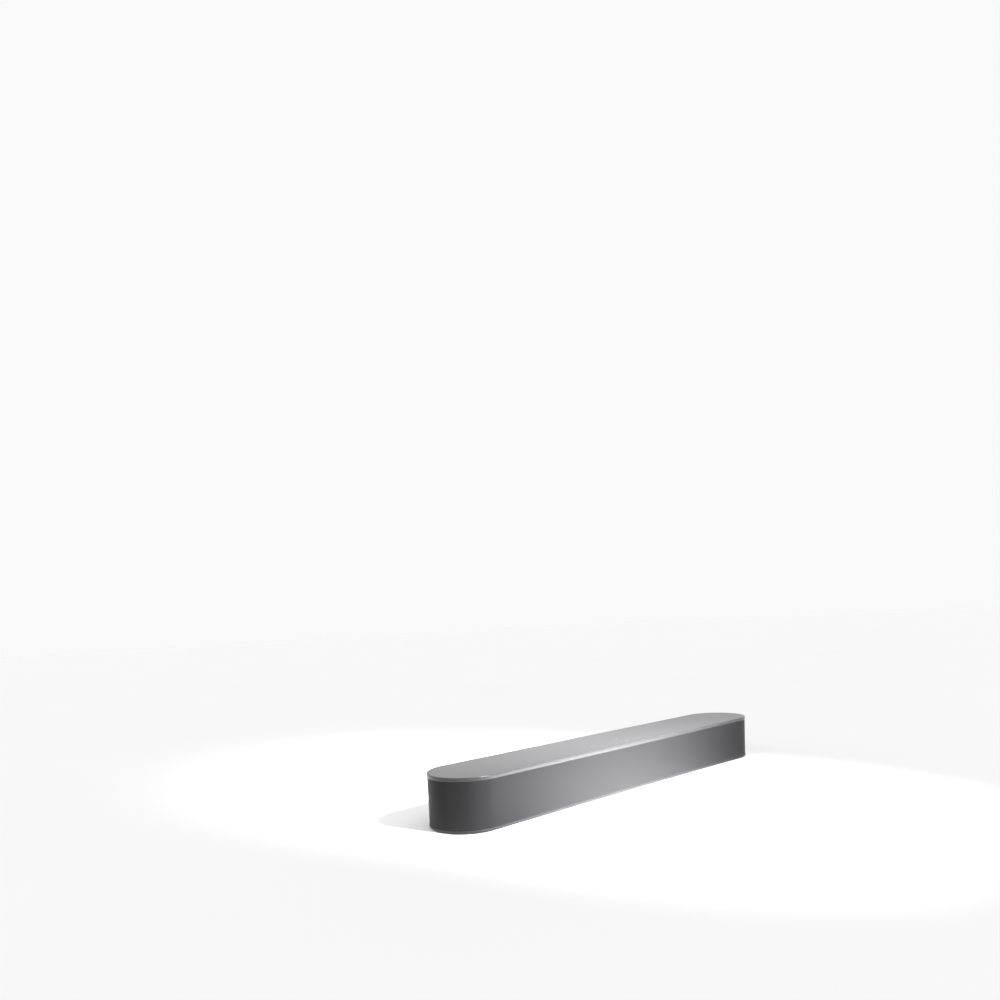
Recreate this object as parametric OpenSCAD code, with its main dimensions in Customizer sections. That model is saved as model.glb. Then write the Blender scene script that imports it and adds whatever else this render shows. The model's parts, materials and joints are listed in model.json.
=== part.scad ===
// Soundbar: a long speaker cabinet with round ends, a flat top cover, a wrap-round grille and a
// connector bay at the back. Millimetres, +Z up, front towards -Y. The origin is the centre of the
// footprint, on the surface that the feet stand on.

/* [Bar] */
// Length of the bar, end to end
bar_l = 651; // [545:1:780]
// Depth of the bar, front to back
bar_d = 100; // [84:1:120]
// Height of the bar on its feet
bar_h = 68.5; // [57:0.5:82]

/* [Covers] */
// Visible height of the top cover's rim
cap_h = 5; // [3:0.5:8]
// Thickness of the top cover's plate
cap_t = 2.4; // [1.8:0.1:3]
// Radius of the top cover's outer edge
cap_edge = 0.9; // [0.4:0.1:1.5]
// Visible height of the base cover's rim
base_h = 3.4; // [3:0.1:8]
// Thickness of the base cover's plate
base_t = 2.4; // [1.8:0.1:3]
// Radius of the base cover's outer edge
base_edge = 1.2; // [0.4:0.1:1.5]
// Height of the lips that stand inside the grille
lip_h = 4; // [2:0.5:6]
// Thickness of those lips
lip_t = 1.6; // [1.2:0.1:2.4]

/* [Grille] */
// Thickness of the grille's wall
grille_t = 1.2; // [0.8:0.1:2]
// How far the grille stands inside the covers' outline
grille_inset = 0.5; // [0.2:0.1:1]
// Thickness of the dust cloth behind the grille
scrim_t = 0.4; // [0.2:0.1:0.8]
// Height of the shadow gaps at the grille's edges
reveal_h = 0.6; // [0.3:0.1:1]
// Depth of the shadow gaps
reveal_d = 0.6; // [0.3:0.1:0.8]

/* [Enclosure] */
// Wall of the rear housing
box_wall = 2.5; // [1.8:0.1:3.5]
// Room between the top cover and the enclosure, for the touch board
touch_room = 4.6; // [4:0.1:8]
// Thickness of the front baffle
baffle_t = 3; // [2:0.5:4]
// Depth of the baffle's front face behind the front of the bar
baffle_setback = 10; // [9:0.5:14]
// Thickness of the baffle's gasket
gasket_t = 1; // [0.5:0.1:2]
// How deep the angled faces cut into the round ends
facet_depth = 15; // [12:0.5:18]
// Angle of the end drivers, from straight ahead
facet_angle = 45; // [40:1:50]
// Width of the electronics bay between the two chambers
bay_w = 130; // [124:1:140]
// Radius of the pillars that the long screws pass through
pillar_r = 4; // [3.5:0.1:4.5]

/* [Drivers] */
// Width of a driver's flange beside its basket
flange_lip = 3.4; // [3:0.1:4]
// Thickness of a driver's flange
flange_t = 1.6; // [1.2:0.1:2.4]
// Straight part added to the woofers' round shape
woofer_span = 26; // [16:1:30]
// Depth of a woofer's basket behind the baffle's front face
basket_depth = 16; // [14:0.5:18]
// Width of the rubber roll between cone and basket
roll_w = 4.6; // [4:0.1:6]
// Radius of the voice coil
coil_r = 10; // [8:0.5:11]
// Radius of a woofer's magnet
magnet_r = 17; // [15:0.5:19]
// Thickness of a woofer's magnet
magnet_t = 6; // [4:0.5:8]
// Gap between the flanges of drivers that stand side by side
driver_gap = 4; // [3:0.5:8]
// Side of the tweeter's square plate
tweeter_plate = 46; // [42:1:50]
// Radius of the tweeter's dome
dome_r = 9.5; // [8:0.5:11]

/* [Connector bay] */
// Width of the opening in the back
port_w = 112; // [106:1:118]
// Height of the opening
port_h = 26; // [24:1:30]
// Height of the opening's centre line
port_z = 30; // [28:0.5:34]
// Depth of the bay
port_depth = 14; // [12:0.5:16]
// Diameter of the join button
button_d = 8; // [6:0.5:10]
// Travel of the join button
button_travel = 0.6; // [0.3:0.1:1]

/* [Base] */
// Thickness of the feet below the base cover
foot_h = 1; // [0.6:0.1:2]
// Length of a foot
foot_l = 44; // [30:1:60]
// Width of a foot
foot_w = 9; // [7:0.5:12]
// Distance between the two threaded inserts for a bracket
insert_pitch = 250; // [230:1:260]
// Thread radius of the inserts, at the crests
insert_thread_r = 2.07; // [1.6:0.01:2.5]

/* [Hidden] */
$fn = 96;

// Clearances
lip_fit = 0.2;
box_fit = 1.1;
port_fit = 0.3;
button_fit = 0.2;
screw_fit = 0.05;
gap = 0.5;
eps = 1;

// Outlines, as radii of the round ends
rim_r = bar_d / 2;
span = bar_l - bar_d;
end_x = span / 2;
grille_r = rim_r - grille_inset;
grille_in = grille_r - grille_t;
scrim_in = grille_in - scrim_t;
lip_r = scrim_in - lip_fit;
lip_in = lip_r - lip_t;
box_r = lip_in - box_fit;

// Levels
base_z = foot_h;
base_top = foot_h + base_h;
cap_bottom = bar_h - cap_h;
cap_under = bar_h - cap_t;
box_z0 = foot_h + base_t;
box_z1 = cap_under - touch_room;
box_h = box_z1 - box_z0;
driver_z = (box_z0 + box_z1) / 2;

// Front of the enclosure
front_y = rim_r - baffle_setback;
facet_d = box_r - facet_depth;
facet_near = (front_y - facet_d * cos(facet_angle)) / sin(facet_angle);
facet_far = sqrt(pow(box_r, 2) - pow(facet_d, 2));
corner_x = end_x + facet_d * sin(facet_angle) - facet_near * cos(facet_angle);

// Flanges: the woofers fill the enclosure's height, and the end drivers the angled faces
flange_margin = 1.5;
woofer_flange = box_h - 2 * flange_margin;
end_flange = min(woofer_flange, 2 * (facet_near - gap));
woofer_w = woofer_flange + woofer_span;
woofer_x = bay_w / 2 + driver_gap + woofer_w / 2;
boundary_x = woofer_x + woofer_w / 2 + driver_gap / 2;
passive_x0 = boundary_x + driver_gap / 2;
passive_w = corner_x - driver_gap - passive_x0;
passive_x = passive_x0 + passive_w / 2;
passive_span = passive_w - woofer_flange;
flange_corner = 4;

// Driver parts
basket_wall = 1.2;
plate_t = 1.5;
washer_t = 3;
washer_inset = 1;
pole_proud = 1;
former_below = 2;
gap_r = 0.6;
former_t = 0.7;
cone_t = 0.6;
cone_web_z = -5;
neck_z = -12;
glue = 0.3;
coil_room_r = coil_r + 2;
slot_w = 12;
slot_drop = 2;
window_w = 16;
window_edge = 2;
spider_t = 0.5;
spider_h = 1.2;
spider_rim = 1.5;
spider_wave = 0.5;
spider_rolls = 3;
roll_t = 0.6;
roll_lap = 0.8;
cone_rim = 1.5;
cone_lap = 0.2;
cap_rise = 3;
tweeter_depth = 16;
passive_depth = 9;
passive_t = 1.4;
passive_dish = 0.4;
passive_weight_t = 3;
screw_inset = 4.2;

// Screws
screw_r = 1.1;
screw_l = 7;
head_r = 2.1;
head_h = 1.5;
long_r = 1.5;
long_head_r = 3;
long_head_h = 1.5;

// Pillars for the long screws: two behind the gap between woofer and passive radiator, four at the back
pillar_back_y = box_r - box_wall - pillar_r - gap;
pillar_front_y = -(front_y - baffle_t - gasket_t - pillar_r - gap);
pillars = [for (s = [-1, 1]) each [
    [s * boundary_x, pillar_front_y], [s * woofer_x, pillar_back_y], [s * passive_x, pillar_back_y]]];
boss_r = 3.5;
boss_pilot = 1;

// Screws that hold the baffle: beside the tweeter, and at the far ends of the angled faces
tweeter_screw_x = (tweeter_plate / 2 + bay_w / 2 - box_wall / 2) / 2;
baffle_screw_dz = box_h / 2 - box_wall - head_r - 2;
facet_screw_s = (end_flange / 2 + facet_far) / 2;

// Connector bay
port_wall = 1.6;
port_floor_t = 2;
port_corner = 5;
port_flange = 8;
port_flange_t = 1.2;
port_flange_h = cap_bottom - base_top - 2 * (lip_h + gap);
port_flange_z = (cap_bottom + base_top) / 2;
port_floor_y = grille_r - port_depth;
board_t = 1.6;
board_z = 20.4;
board_top = board_z + board_t;
board_back_y = port_floor_y - port_floor_t - port_fit;
board_d = 38;
power_board_x = [-60, -17];
main_board_x = [-14, 60];
post_r = 3;
post_inset = 4;
port_screw_x = port_w / 2 + port_flange / 2;

// Sockets: [centre x, width, height, depth]
inlet = [-37, 20, 13, 18];
inlet_recess = [15.6, 8.4, 12];
inlet_pin_pitch = 8.6;
inlet_pin_r = 1.18;
inlet_pin_set = 1.5;
video = [1, 15.4, 6.6, 12];
video_wall = 0.6;
tongue_inset = 2;
tongue_t = 1.6;
network = [22, 16, 13.5, 18];
network_hole = [11.8, 7.6, 13];
network_floor = 3.6;
network_pitch = 1.02;
network_contact = [0.5, 10, 0.8];
network_latch = [6.2, 2.6];
button_x = 44;
button_proud = 0.8;
button_collar = 1.2;
button_stem = 3;
switch_gap = 0.1;
switch_y = port_floor_y - port_floor_t - button_collar - button_stem - button_travel - switch_gap;

// Touch board, light and microphones
touch_board_l = 120;
touch_board_w = 30;
light_y = -11;
light_r = 1;
mic_r = 0.6;
mics = [for (sx = [-1, 1], sy = [-1, 1]) [sx * 54, sy * 9]];

// Feet and inserts
foot_recess = 0.8;
feet_at = [for (sx = [-1, 1], sy = [-1, 1]) [sx * (end_x - 50), sy * (rim_r - 20)]];
insert_r = 4;
insert_l = 10;
insert_boss_r = 7;
insert_at = [for (s = [-1, 1]) [s * insert_pitch / 2, 0]];

// Leads
lead_r = 1;
lead_z = driver_z + (magnet_fit_r(end_flange) + basket_r(end_flange)) / 2;
lead_y = 16;
lead_hole_r = 1.8;
lead_bend = 4;
lead_branch_r = 0.8;

// ---------- shapes that repeat ----------

// Carries a section (x outward from the centre line, y up) round a racetrack
module racetrack_sweep(length) {
    if (length > 0) {
        for (turn = [0, 180]) rotate([0, 0, turn]) {
            translate([length / 2, 0, 0]) rotate([0, 0, -90]) rotate_extrude(angle = 180) children();
            translate([-length / 2, 0, 0]) rotate([90, 0, 90]) linear_extrude(length) children();
        }
    } else {
        rotate_extrude() children();
    }
}

// A flat racetrack: radius r at the ends, straight sides of the given length
module racetrack_plate(length, r, h) {
    for (s = [-1, 1]) translate([s * length / 2, 0, 0]) cylinder(r = r, h = h);
    if (length > 0) translate([-length / 2, -r, 0]) cube([length, 2 * r, h]);
}

// A rectangle with round corners, w by h, t thick
module rounded_plate(w, h, r, t) {
    translate([-w / 2, -h / 2 + r, 0]) cube([w, h - 2 * r, t]);
    translate([-w / 2 + r, -h / 2, 0]) cube([w - 2 * r, h, t]);
    for (sx = [-1, 1], sy = [-1, 1]) translate([sx * (w / 2 - r), sy * (h / 2 - r), 0])
        cylinder(r = r, h = t);
}

// Points of a quarter round, centre c, from angle a0 to a1
function arc(c, r, a0, a1, n = 6) =
    [for (i = [0 : n]) let (a = a0 + (a1 - a0) * i / n) [c[0] + r * cos(a), c[1] + r * sin(a)]];

// Puts a driver's own frame (z forward) on the front, or on an angled end face
module on_front(x) {
    translate([x, -front_y, driver_z]) rotate([90, 0, 0]) children();
}
module on_facet(side) {
    translate([side * end_x, 0, driver_z]) rotate([0, 0, side * facet_angle])
        translate([0, -facet_d, 0]) rotate([90, 0, 0]) children();
}

// Puts a shape drawn flat on the back, its thickness running forward from y
module on_back(y) {
    translate([0, y, port_z]) rotate([90, 0, 0]) children();
}

module short_screw() {
    cylinder(r = head_r, h = head_h);
    translate([0, 0, -screw_l]) cylinder(r = screw_r, h = screw_l);
}

// Hole for the short screw, from z = 0 back
module screw_hole(depth) {
    translate([0, 0, -depth]) cylinder(r = screw_r + screw_fit, h = depth + eps);
}

// Places of the four screws in a flange w by h
module flange_corners(w, h) {
    for (sx = [-1, 1], sy = [-1, 1])
        translate([sx * (w / 2 - screw_inset), sy * (h / 2 - screw_inset), 0]) children();
}

// ---------- enclosure ----------

// Cuts away all that lies in front of the baffle's front face moved back by t
module in_front_of(t, z0, z1) {
    h = z1 - z0;
    translate([-bar_l, -bar_d, z0]) cube([2 * bar_l, bar_d - front_y + t, h]);
    for (s = [-1, 1]) translate([s * end_x, 0, z0]) rotate([0, 0, s * facet_angle])
        translate([-bar_d, -2 * bar_d - facet_d + t, 0]) cube([2 * bar_d, 2 * bar_d, h]);
}

// The enclosure's outer shape with its front faces moved back by t
module box_solid(t) {
    difference() {
        translate([0, 0, box_z0]) racetrack_plate(span, box_r, box_h);
        in_front_of(t, box_z0 - eps, box_z1 + eps);
    }
}

// What lies behind the front faces moved back by t
module behind(t) {
    difference() {
        translate([-bar_l, -bar_d, box_z0 - eps]) cube([2 * bar_l, 2 * bar_d, box_h + 2 * eps]);
        in_front_of(t, box_z0 - 2 * eps, box_z1 + 2 * eps);
    }
}

// The two chambers and the electronics bay between them
module chambers() {
    difference() {
        translate([0, 0, box_z0 + box_wall]) racetrack_plate(span, box_r - box_wall, box_h - 2 * box_wall);
        for (s = [-1, 1]) translate([s * bay_w / 2 - box_wall / 2, -bar_d, box_z0])
            cube([box_wall, 2 * bar_d, box_h]);
    }
}

module baffle_screw_places() {
    for (s = [-1, 1], v = [-1, 1]) {
        on_front(s * tweeter_screw_x) translate([0, v * baffle_screw_dz, 0]) children();
        on_facet(s) translate([s * facet_screw_s, v * baffle_screw_dz, 0]) children();
    }
}

module front_baffle() color("#2c2c2e") {
    difference() {
        box_solid(0);
        behind(baffle_t);
        for (s = [-1, 1]) {
            on_front(s * woofer_x) driver_cutout(woofer_span, woofer_flange, woofer_w, woofer_flange);
            on_front(s * passive_x) driver_cutout(passive_span, woofer_flange, passive_w, woofer_flange);
            on_facet(s) driver_cutout(0, end_flange, end_flange, end_flange);
        }
        on_front(0) {
            translate([0, 0, -baffle_t - eps]) cylinder(r = tweeter_hole_r, h = baffle_t + 2 * eps);
            flange_corners(tweeter_plate, tweeter_plate) screw_hole(baffle_t + eps);
        }
        baffle_screw_places() screw_hole(baffle_t + eps);
    }
}

module driver_cutout(length, flange, w, h) {
    translate([0, 0, -baffle_t - eps])
        racetrack_plate(length, flange / 2 - flange_lip + port_fit, baffle_t + 2 * eps);
    flange_corners(w, h) screw_hole(baffle_t + eps);
}

module baffle_gasket() color("#1a1a1a") {
    difference() {
        box_solid(baffle_t);
        behind(baffle_t + gasket_t);
        chambers();
    }
}

module rear_housing() color("#242426") {
    difference() {
        union() {
            difference() {
                box_solid(baffle_t + gasket_t);
                chambers();
            }
            for (p = pillars) translate([p[0], p[1], box_z0]) cylinder(r = pillar_r, h = box_h);
            for (p = insert_at) translate([p[0], p[1], box_z0]) cylinder(r = insert_boss_r, h = insert_l);
            for (p = board_holes) translate([p[0], p[1], box_z0])
                cylinder(r = post_r, h = board_z - box_z0);
            baffle_bosses();
            on_back(box_r - box_wall) port_screw_bosses();
        }
        for (p = pillars) translate([p[0], p[1], box_z0 - eps])
            cylinder(r = long_r + 4 * screw_fit, h = box_h + 2 * eps);
        for (p = insert_at) translate([p[0], p[1], box_z0 - eps])
            cylinder(r = insert_r, h = insert_l - base_t + eps);
        for (p = board_holes) translate([p[0], p[1], board_z]) screw_hole(screw_l);
        baffle_screw_places() screw_hole(screw_l + gap);
        on_back(box_r + eps) rounded_plate(port_w, port_h, port_corner, box_wall + 2 * eps);
        on_back(box_r) port_screw_holes();
        translate([main_ribbon_x, ribbon_y, box_z1 - box_wall - eps])
            rounded_plate(ribbon_w + 4, ribbon_t + 3, 1, box_wall + 2 * eps);
        for (s = [-1, 1]) translate([s * bay_w / 2, lead_y, lead_z]) rotate([0, 90, 0])
            cylinder(r = lead_hole_r, h = 2 * box_wall, center = true);
    }
}

// Bosses behind the baffle's screws
module baffle_bosses() {
    intersection() {
        baffle_screw_places() translate([0, 0, -baffle_t - gasket_t - screw_l])
            cylinder(r = pillar_r, h = screw_l);
        translate([0, 0, box_z0]) racetrack_plate(span, box_r, box_h);
    }
    for (s = [-1, 1], v = [-1, 1]) on_front(s * tweeter_screw_x) {
        translate([-box_wall / 2, v > 0 ? baffle_screw_dz : -box_h / 2, -baffle_t - gasket_t - screw_l])
            cube([box_wall, box_h / 2 - baffle_screw_dz, screw_l]);
    }
}

// ---------- covers, grille and feet ----------

module top_cover() color("#4a4a4c") {
    difference() {
        union() {
            racetrack_sweep(span) polygon(concat(
                [[0, cap_under], [lip_in, cap_under], [lip_in, cap_bottom - lip_h],
                    [lip_r, cap_bottom - lip_h], [lip_r, cap_bottom], [rim_r, cap_bottom]],
                arc([rim_r - cap_edge, bar_h - cap_edge], cap_edge, 0, 90),
                [[0, bar_h]]));
            for (p = pillars) translate([p[0], p[1], box_z1]) cylinder(r = boss_r, h = touch_room + eps);
        }
        for (p = pillars) translate([p[0], p[1], box_z1 - eps])
            cylinder(r = long_r + screw_fit, h = touch_room + boss_pilot + eps);
        for (p = mics) translate([p[0], p[1], cap_under - eps])
            cylinder(r = mic_r, h = cap_t + 2 * eps, $fn = 24);
        translate([0, light_y, cap_under - eps]) cylinder(r = light_r, h = cap_t + 2 * eps, $fn = 24);
    }
}

module base_cover() color("#333335") {
    difference() {
        racetrack_sweep(span) polygon(concat(
            [[0, base_z]],
            arc([rim_r - base_edge, base_z + base_edge], base_edge, -90, 0),
            [[rim_r, base_top], [lip_r, base_top], [lip_r, base_top + lip_h],
                [lip_in, base_top + lip_h], [lip_in, box_z0], [0, box_z0]]));
        for (p = pillars) translate([p[0], p[1], base_z]) {
            translate([0, 0, -eps]) cylinder(r = long_r + 4 * screw_fit, h = base_t + 2 * eps);
            cylinder(r1 = long_head_r, r2 = long_r, h = long_head_h);
        }
        for (p = insert_at) translate([p[0], p[1], base_z - eps])
            cylinder(r = insert_r + screw_fit, h = base_t + 2 * eps);
        for (p = feet_at) translate([p[0], p[1], base_z - eps])
            racetrack_plate(foot_l - foot_w, foot_w / 2, foot_recess + eps);
    }
}

module feet() color("#151515") {
    for (p = feet_at) translate([p[0], p[1], 0]) {
        racetrack_plate(foot_l - foot_w, foot_w / 2, foot_h + foot_recess);
    }
}

module grille_opening() {
    on_back(rim_r + eps) rounded_plate(port_w, port_h, port_corner, rim_r / 2);
}

module grille() color("#303032") {
    difference() {
        racetrack_sweep(span) polygon([
            [grille_in, base_top], [grille_r - reveal_d, base_top],
            [grille_r - reveal_d, base_top + reveal_h], [grille_r, base_top + reveal_h],
            [grille_r, cap_bottom - reveal_h], [grille_r - reveal_d, cap_bottom - reveal_h],
            [grille_r - reveal_d, cap_bottom], [grille_in, cap_bottom]]);
        grille_opening();
    }
}

module dust_cloth() color("#101010") {
    difference() {
        racetrack_sweep(span) translate([scrim_in, base_top]) square([scrim_t, cap_bottom - base_top]);
        grille_opening();
    }
}

module threaded_inserts() color("#b08d57") {
    for (p = insert_at) translate([p[0], p[1], base_z]) difference() {
        cylinder(r = insert_r, h = insert_l);
        translate([0, 0, -eps]) cylinder(r = insert_thread_r, h = insert_l + 2 * eps);
    }
}

module cover_screws() color("#8a8a8c") {
    for (p = pillars) translate([p[0], p[1], base_z]) {
        cylinder(r1 = long_head_r, r2 = long_r, h = long_head_h);
        cylinder(r = long_r, h = box_z1 - base_z + touch_room);
    }
}

module light_pipe() color("#e8e8e8") {
    translate([0, light_y, cap_under]) cylinder(r = light_r, h = cap_t, $fn = 24);
}

// ---------- connector bay ----------

module port_tub(inset, y, depth) {
    on_back(y) rounded_plate(port_w - 2 * port_fit - 2 * inset, port_h - 2 * port_fit - 2 * inset,
        port_corner - inset, depth);
}

module port_screw_places() {
    for (s = [-1, 1], v = [-1, 1]) translate([s * port_screw_x, v * (port_h / 2 - port_corner), 0])
        children();
}

module port_screw_bosses() {
    port_screw_places() cylinder(r = pillar_r, h = screw_l);
}

module port_screw_holes() {
    port_screw_places() translate([0, 0, -eps]) cylinder(r = screw_r + screw_fit, h = screw_l + eps);
}

module socket_hole(s, clearance) {
    translate([s[0] - s[1] / 2 - clearance, port_floor_y - port_floor_t - eps, board_top - clearance])
        cube([s[1] + 2 * clearance, port_floor_t + 2 * eps, s[2] + 2 * clearance]);
}

module connector_panel() color("#1e1e20") {
    difference() {
        union() {
            port_tub(0, grille_r, port_depth + port_floor_t);
            translate([0, 0, port_flange_z - port_z]) on_back(box_r + port_flange_t)
                rounded_plate(port_w + 2 * port_flange, port_flange_h, port_corner, port_flange_t);
        }
        port_tub(port_wall, grille_r + eps, port_depth + eps);
        for (s = [inlet, video, network]) socket_hole(s, 0);
        translate([button_x, port_floor_y + eps, port_z]) rotate([90, 0, 0])
            cylinder(r = button_d / 2 + button_fit, h = port_floor_t + 2 * eps);
        on_back(box_r + port_flange_t) port_screw_places() translate([0, 0, -eps])
            cylinder(r = screw_r + screw_fit, h = port_flange_t + 2 * eps);
    }
}

// A socket's block, its mouth flush with the bay's floor
module socket_block(s) {
    translate([s[0] - s[1] / 2, port_floor_y - s[3], board_top]) cube([s[1], s[3], s[2]]);
}

module power_inlet() color("#111113") {
    difference() {
        socket_block(inlet);
        translate([inlet[0], port_floor_y + eps, board_top + inlet[2] / 2]) rotate([90, 0, 0])
            racetrack_plate(inlet_recess[0] - inlet_recess[1], inlet_recess[1] / 2, inlet_recess[2] + eps);
    }
}

module inlet_pins() color("#c9c9c9") {
    for (s = [-1, 1])
        translate([inlet[0] + s * inlet_pin_pitch / 2, port_floor_y - inlet_pin_set,
            board_top + inlet[2] / 2])
            rotate([90, 0, 0]) cylinder(r = inlet_pin_r, h = inlet_recess[2] - inlet_pin_set, $fn = 32);
}

module video_socket() color("#b9bbbd") {
    difference() {
        socket_block(video);
        translate([video[0] - video[1] / 2 + video_wall, port_floor_y - video[3] + video_wall,
            board_top + video_wall])
            cube([video[1] - 2 * video_wall, video[3], video[2] - 2 * video_wall]);
    }
}

module video_tongue() color("#141414") {
    w = video[1] - 2 * tongue_inset;
    translate([video[0] - w / 2, port_floor_y - video[3] + video_wall,
        board_top + (video[2] - tongue_t) / 2])
        cube([w, video[3] - video_wall - tongue_inset, tongue_t]);
}

module network_socket() color("#aaacae") {
    hole_z = board_top + network_floor;
    difference() {
        socket_block(network);
        translate([network[0] - network_hole[0] / 2, port_floor_y - network_hole[2], hole_z])
            cube([network_hole[0], network_hole[2] + eps, network_hole[1]]);
        translate([network[0] - network_latch[0] / 2, port_floor_y - network_hole[2],
            hole_z - network_latch[1]])
            cube([network_latch[0], network_hole[2] + eps, network_latch[1] + eps]);
    }
}

module network_contacts() color("#d4af37") {
    z = board_top + network_floor + network_hole[1] - network_contact[2];
    for (i = [0 : 7]) translate([network[0] + (i - 3.5) * network_pitch, port_floor_y - network_hole[2], z])
        translate([-network_contact[0] / 2, 0, 0]) cube(network_contact);
}

module join_button() color("#3a3a3c") {
    translate([button_x, port_floor_y + button_proud, port_z]) rotate([90, 0, 0]) {
        cylinder(r = button_d / 2, h = button_proud + port_floor_t);
        translate([0, 0, button_proud + port_floor_t])
            cylinder(r = button_d / 2 + button_collar, h = button_collar);
        translate([0, 0, button_proud + port_floor_t + button_collar])
            cylinder(r = button_d / 4, h = button_stem);
    }
}

// ---------- electronics ----------

board_front_y = board_back_y - board_d;
board_hole_rows = [board_front_y + post_inset, board_back_y - post_inset];
board_holes = [for (b = [power_board_x, main_board_x], i = [0, 1], y = board_hole_rows)
    [i == 0 ? b[0] + post_inset : b[1] - post_inset, y]];
ribbon_w = 10;
ribbon_t = 0.4;
ribbon_y = 4;
main_ribbon_x = 45;

module board(x) {
    difference() {
        translate([x[0], board_front_y, board_z]) cube([x[1] - x[0], board_d, board_t]);
        for (p = board_holes) translate([p[0], p[1], board_top]) screw_hole(board_t + eps);
    }
}

module main_board() color("#1d4d2b") board(main_board_x);

module power_board() color("#7a6a2f") board(power_board_x);

// A component: centre x, y, then width, depth, height, standing on the boards
module chip(x, y, w, d, h) {
    translate([x - w / 2, y - d / 2, board_top]) cube([w, d, h]);
}

module can(x, y, r, h) {
    translate([x, y, board_top]) cylinder(r = r, h = h);
}

sink_x = 22;
sink_w = 30;
sink_d = 18;
sink_y = board_front_y + 11;
sink_fins = 8;
sink_fin_t = 1.2;
processor_h = 2;

module main_board_parts() color("#26262a") {
    chip(sink_x, sink_y, 15, 15, processor_h);
    chip(main_ribbon_x, ribbon_y, ribbon_w + 2, 4, 4);
    for (i = [0 : 2]) chip(0, board_front_y + 8 + 8 * i, 6, 6, 4);
    for (i = [0 : 1]) can(-8, board_front_y + 12 + 9 * i, 3, 9);
    translate([button_x - 3, switch_y - 3.5, board_top]) cube([6, 3.5, port_z - board_top + 3]);
}

module heat_sink() color("#9a9ca0") {
    translate([sink_x - sink_w / 2, sink_y - sink_d / 2, board_top + processor_h]) {
        cube([sink_w, sink_d, 2]);
        for (i = [0 : sink_fins - 1]) translate([i * (sink_w - sink_fin_t) / (sink_fins - 1), 0, 0])
            cube([sink_fin_t, sink_d, 14]);
    }
}

module power_board_parts() color("#3b3420") {
    chip(inlet[0] + 8, board_front_y + 14, 20, 14, 16);
    can(inlet[0] - 12, board_front_y + 14, 6, 20);
    can(inlet[0] - 4, board_front_y + 4, 2.5, 8);
    chip(inlet[0] - 19, board_back_y - 14, 5, 9, 9);
}

module touch_board() color("#123a20") {
    difference() {
        union() {
            translate([0, 0, cap_under - board_t]) rounded_plate(touch_board_l, touch_board_w, 3, board_t);
            for (x = [-40 : 16 : 40]) translate([x - 2, -2, cap_under - board_t - 1])
                cube([4, 4, 1 + eps / 2]);
        }
        for (p = mics) translate([p[0], p[1], cap_under - board_t - eps])
            cylinder(r = mic_r, h = board_t + 2 * eps, $fn = 24);
    }
}

module touch_ribbon() color("#c98a3a") {
    top = cap_under - board_t;
    bottom = board_top + 4;
    translate([main_ribbon_x - ribbon_w / 2, ribbon_y - ribbon_t / 2, bottom])
        cube([ribbon_w, ribbon_t, top - bottom]);
}

module antennas() color("#2f6a46") {
    for (s = [-1, 1]) translate([s * (bay_w / 2 + 25), 18, box_z1]) rounded_plate(34, 9, 1.5, 0.8);
}

// A bend in a wire: starts at [lead_bend, 0] and turns about the origin
module lead_elbow(turn, r) {
    rotate_extrude(angle = turn, $fn = 32) translate([lead_bend, 0]) circle(r = r);
}

// A straight wire along +Y
module lead_straight(length, r) {
    rotate([-90, 0, 0]) cylinder(r = r, h = length, $fn = 32);
}

// From the amplifier's board up, along the enclosure and on to the end driver, with a branch to the woofer
module side_lead(s, x) {
    y = board_front_y + post_inset;
    turn = 90 - facet_angle;
    tangent = lead_bend * tan(turn / 2);
    turn_x = end_x - lead_y * tan(facet_angle) - tangent;
    start = tangent - lead_y / cos(facet_angle);
    basket_back = basket_depth + plate_t;
    translate([x, y, board_top]) cylinder(r = lead_r, h = lead_z - lead_bend - board_top, $fn = 32);
    translate([x, y + lead_bend, lead_z - lead_bend]) rotate([90, 0, -90]) lead_elbow(90, lead_r);
    translate([x, y + lead_bend, lead_z]) lead_straight(lead_y - y - 2 * lead_bend, lead_r);
    translate([x + s * lead_bend, lead_y - lead_bend, lead_z]) rotate([0, 0, s > 0 ? 90 : 0])
        lead_elbow(90, lead_r);
    translate([x + s * lead_bend, lead_y, lead_z]) rotate([0, 0, -s * 90])
        lead_straight(turn_x - s * x - lead_bend, lead_r);
    translate([s * turn_x, lead_y - lead_bend, lead_z]) rotate([0, 0, s > 0 ? facet_angle : 90])
        lead_elbow(turn, lead_r);
    translate([s * end_x, 0, lead_z]) rotate([0, 0, s * facet_angle])
        translate([0, basket_back - facet_d, 0])
        lead_straight(facet_d - basket_back - start, lead_r);
    translate([s * woofer_x, basket_back - front_y, lead_z])
        lead_straight(lead_y + front_y - basket_back, lead_branch_r);
}

// From the board up and forward to the tweeter
module tweeter_lead() {
    y = board_front_y + post_inset - 1;
    translate([0, tweeter_depth - front_y, driver_z])
        lead_straight(y - lead_bend - tweeter_depth + front_y, lead_branch_r);
    translate([0, y - lead_bend, driver_z - lead_bend]) rotate([90, 0, 90]) lead_elbow(90, lead_branch_r);
    translate([0, y, board_top])
        cylinder(r = lead_branch_r, h = driver_z - lead_bend - board_top, $fn = 32);
}

module speaker_leads() color("#8c2f2a") {
    side_lead(-1, main_board_x[0] + 8);
    side_lead(1, main_board_x[1] - 8);
    tweeter_lead();
}

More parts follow.
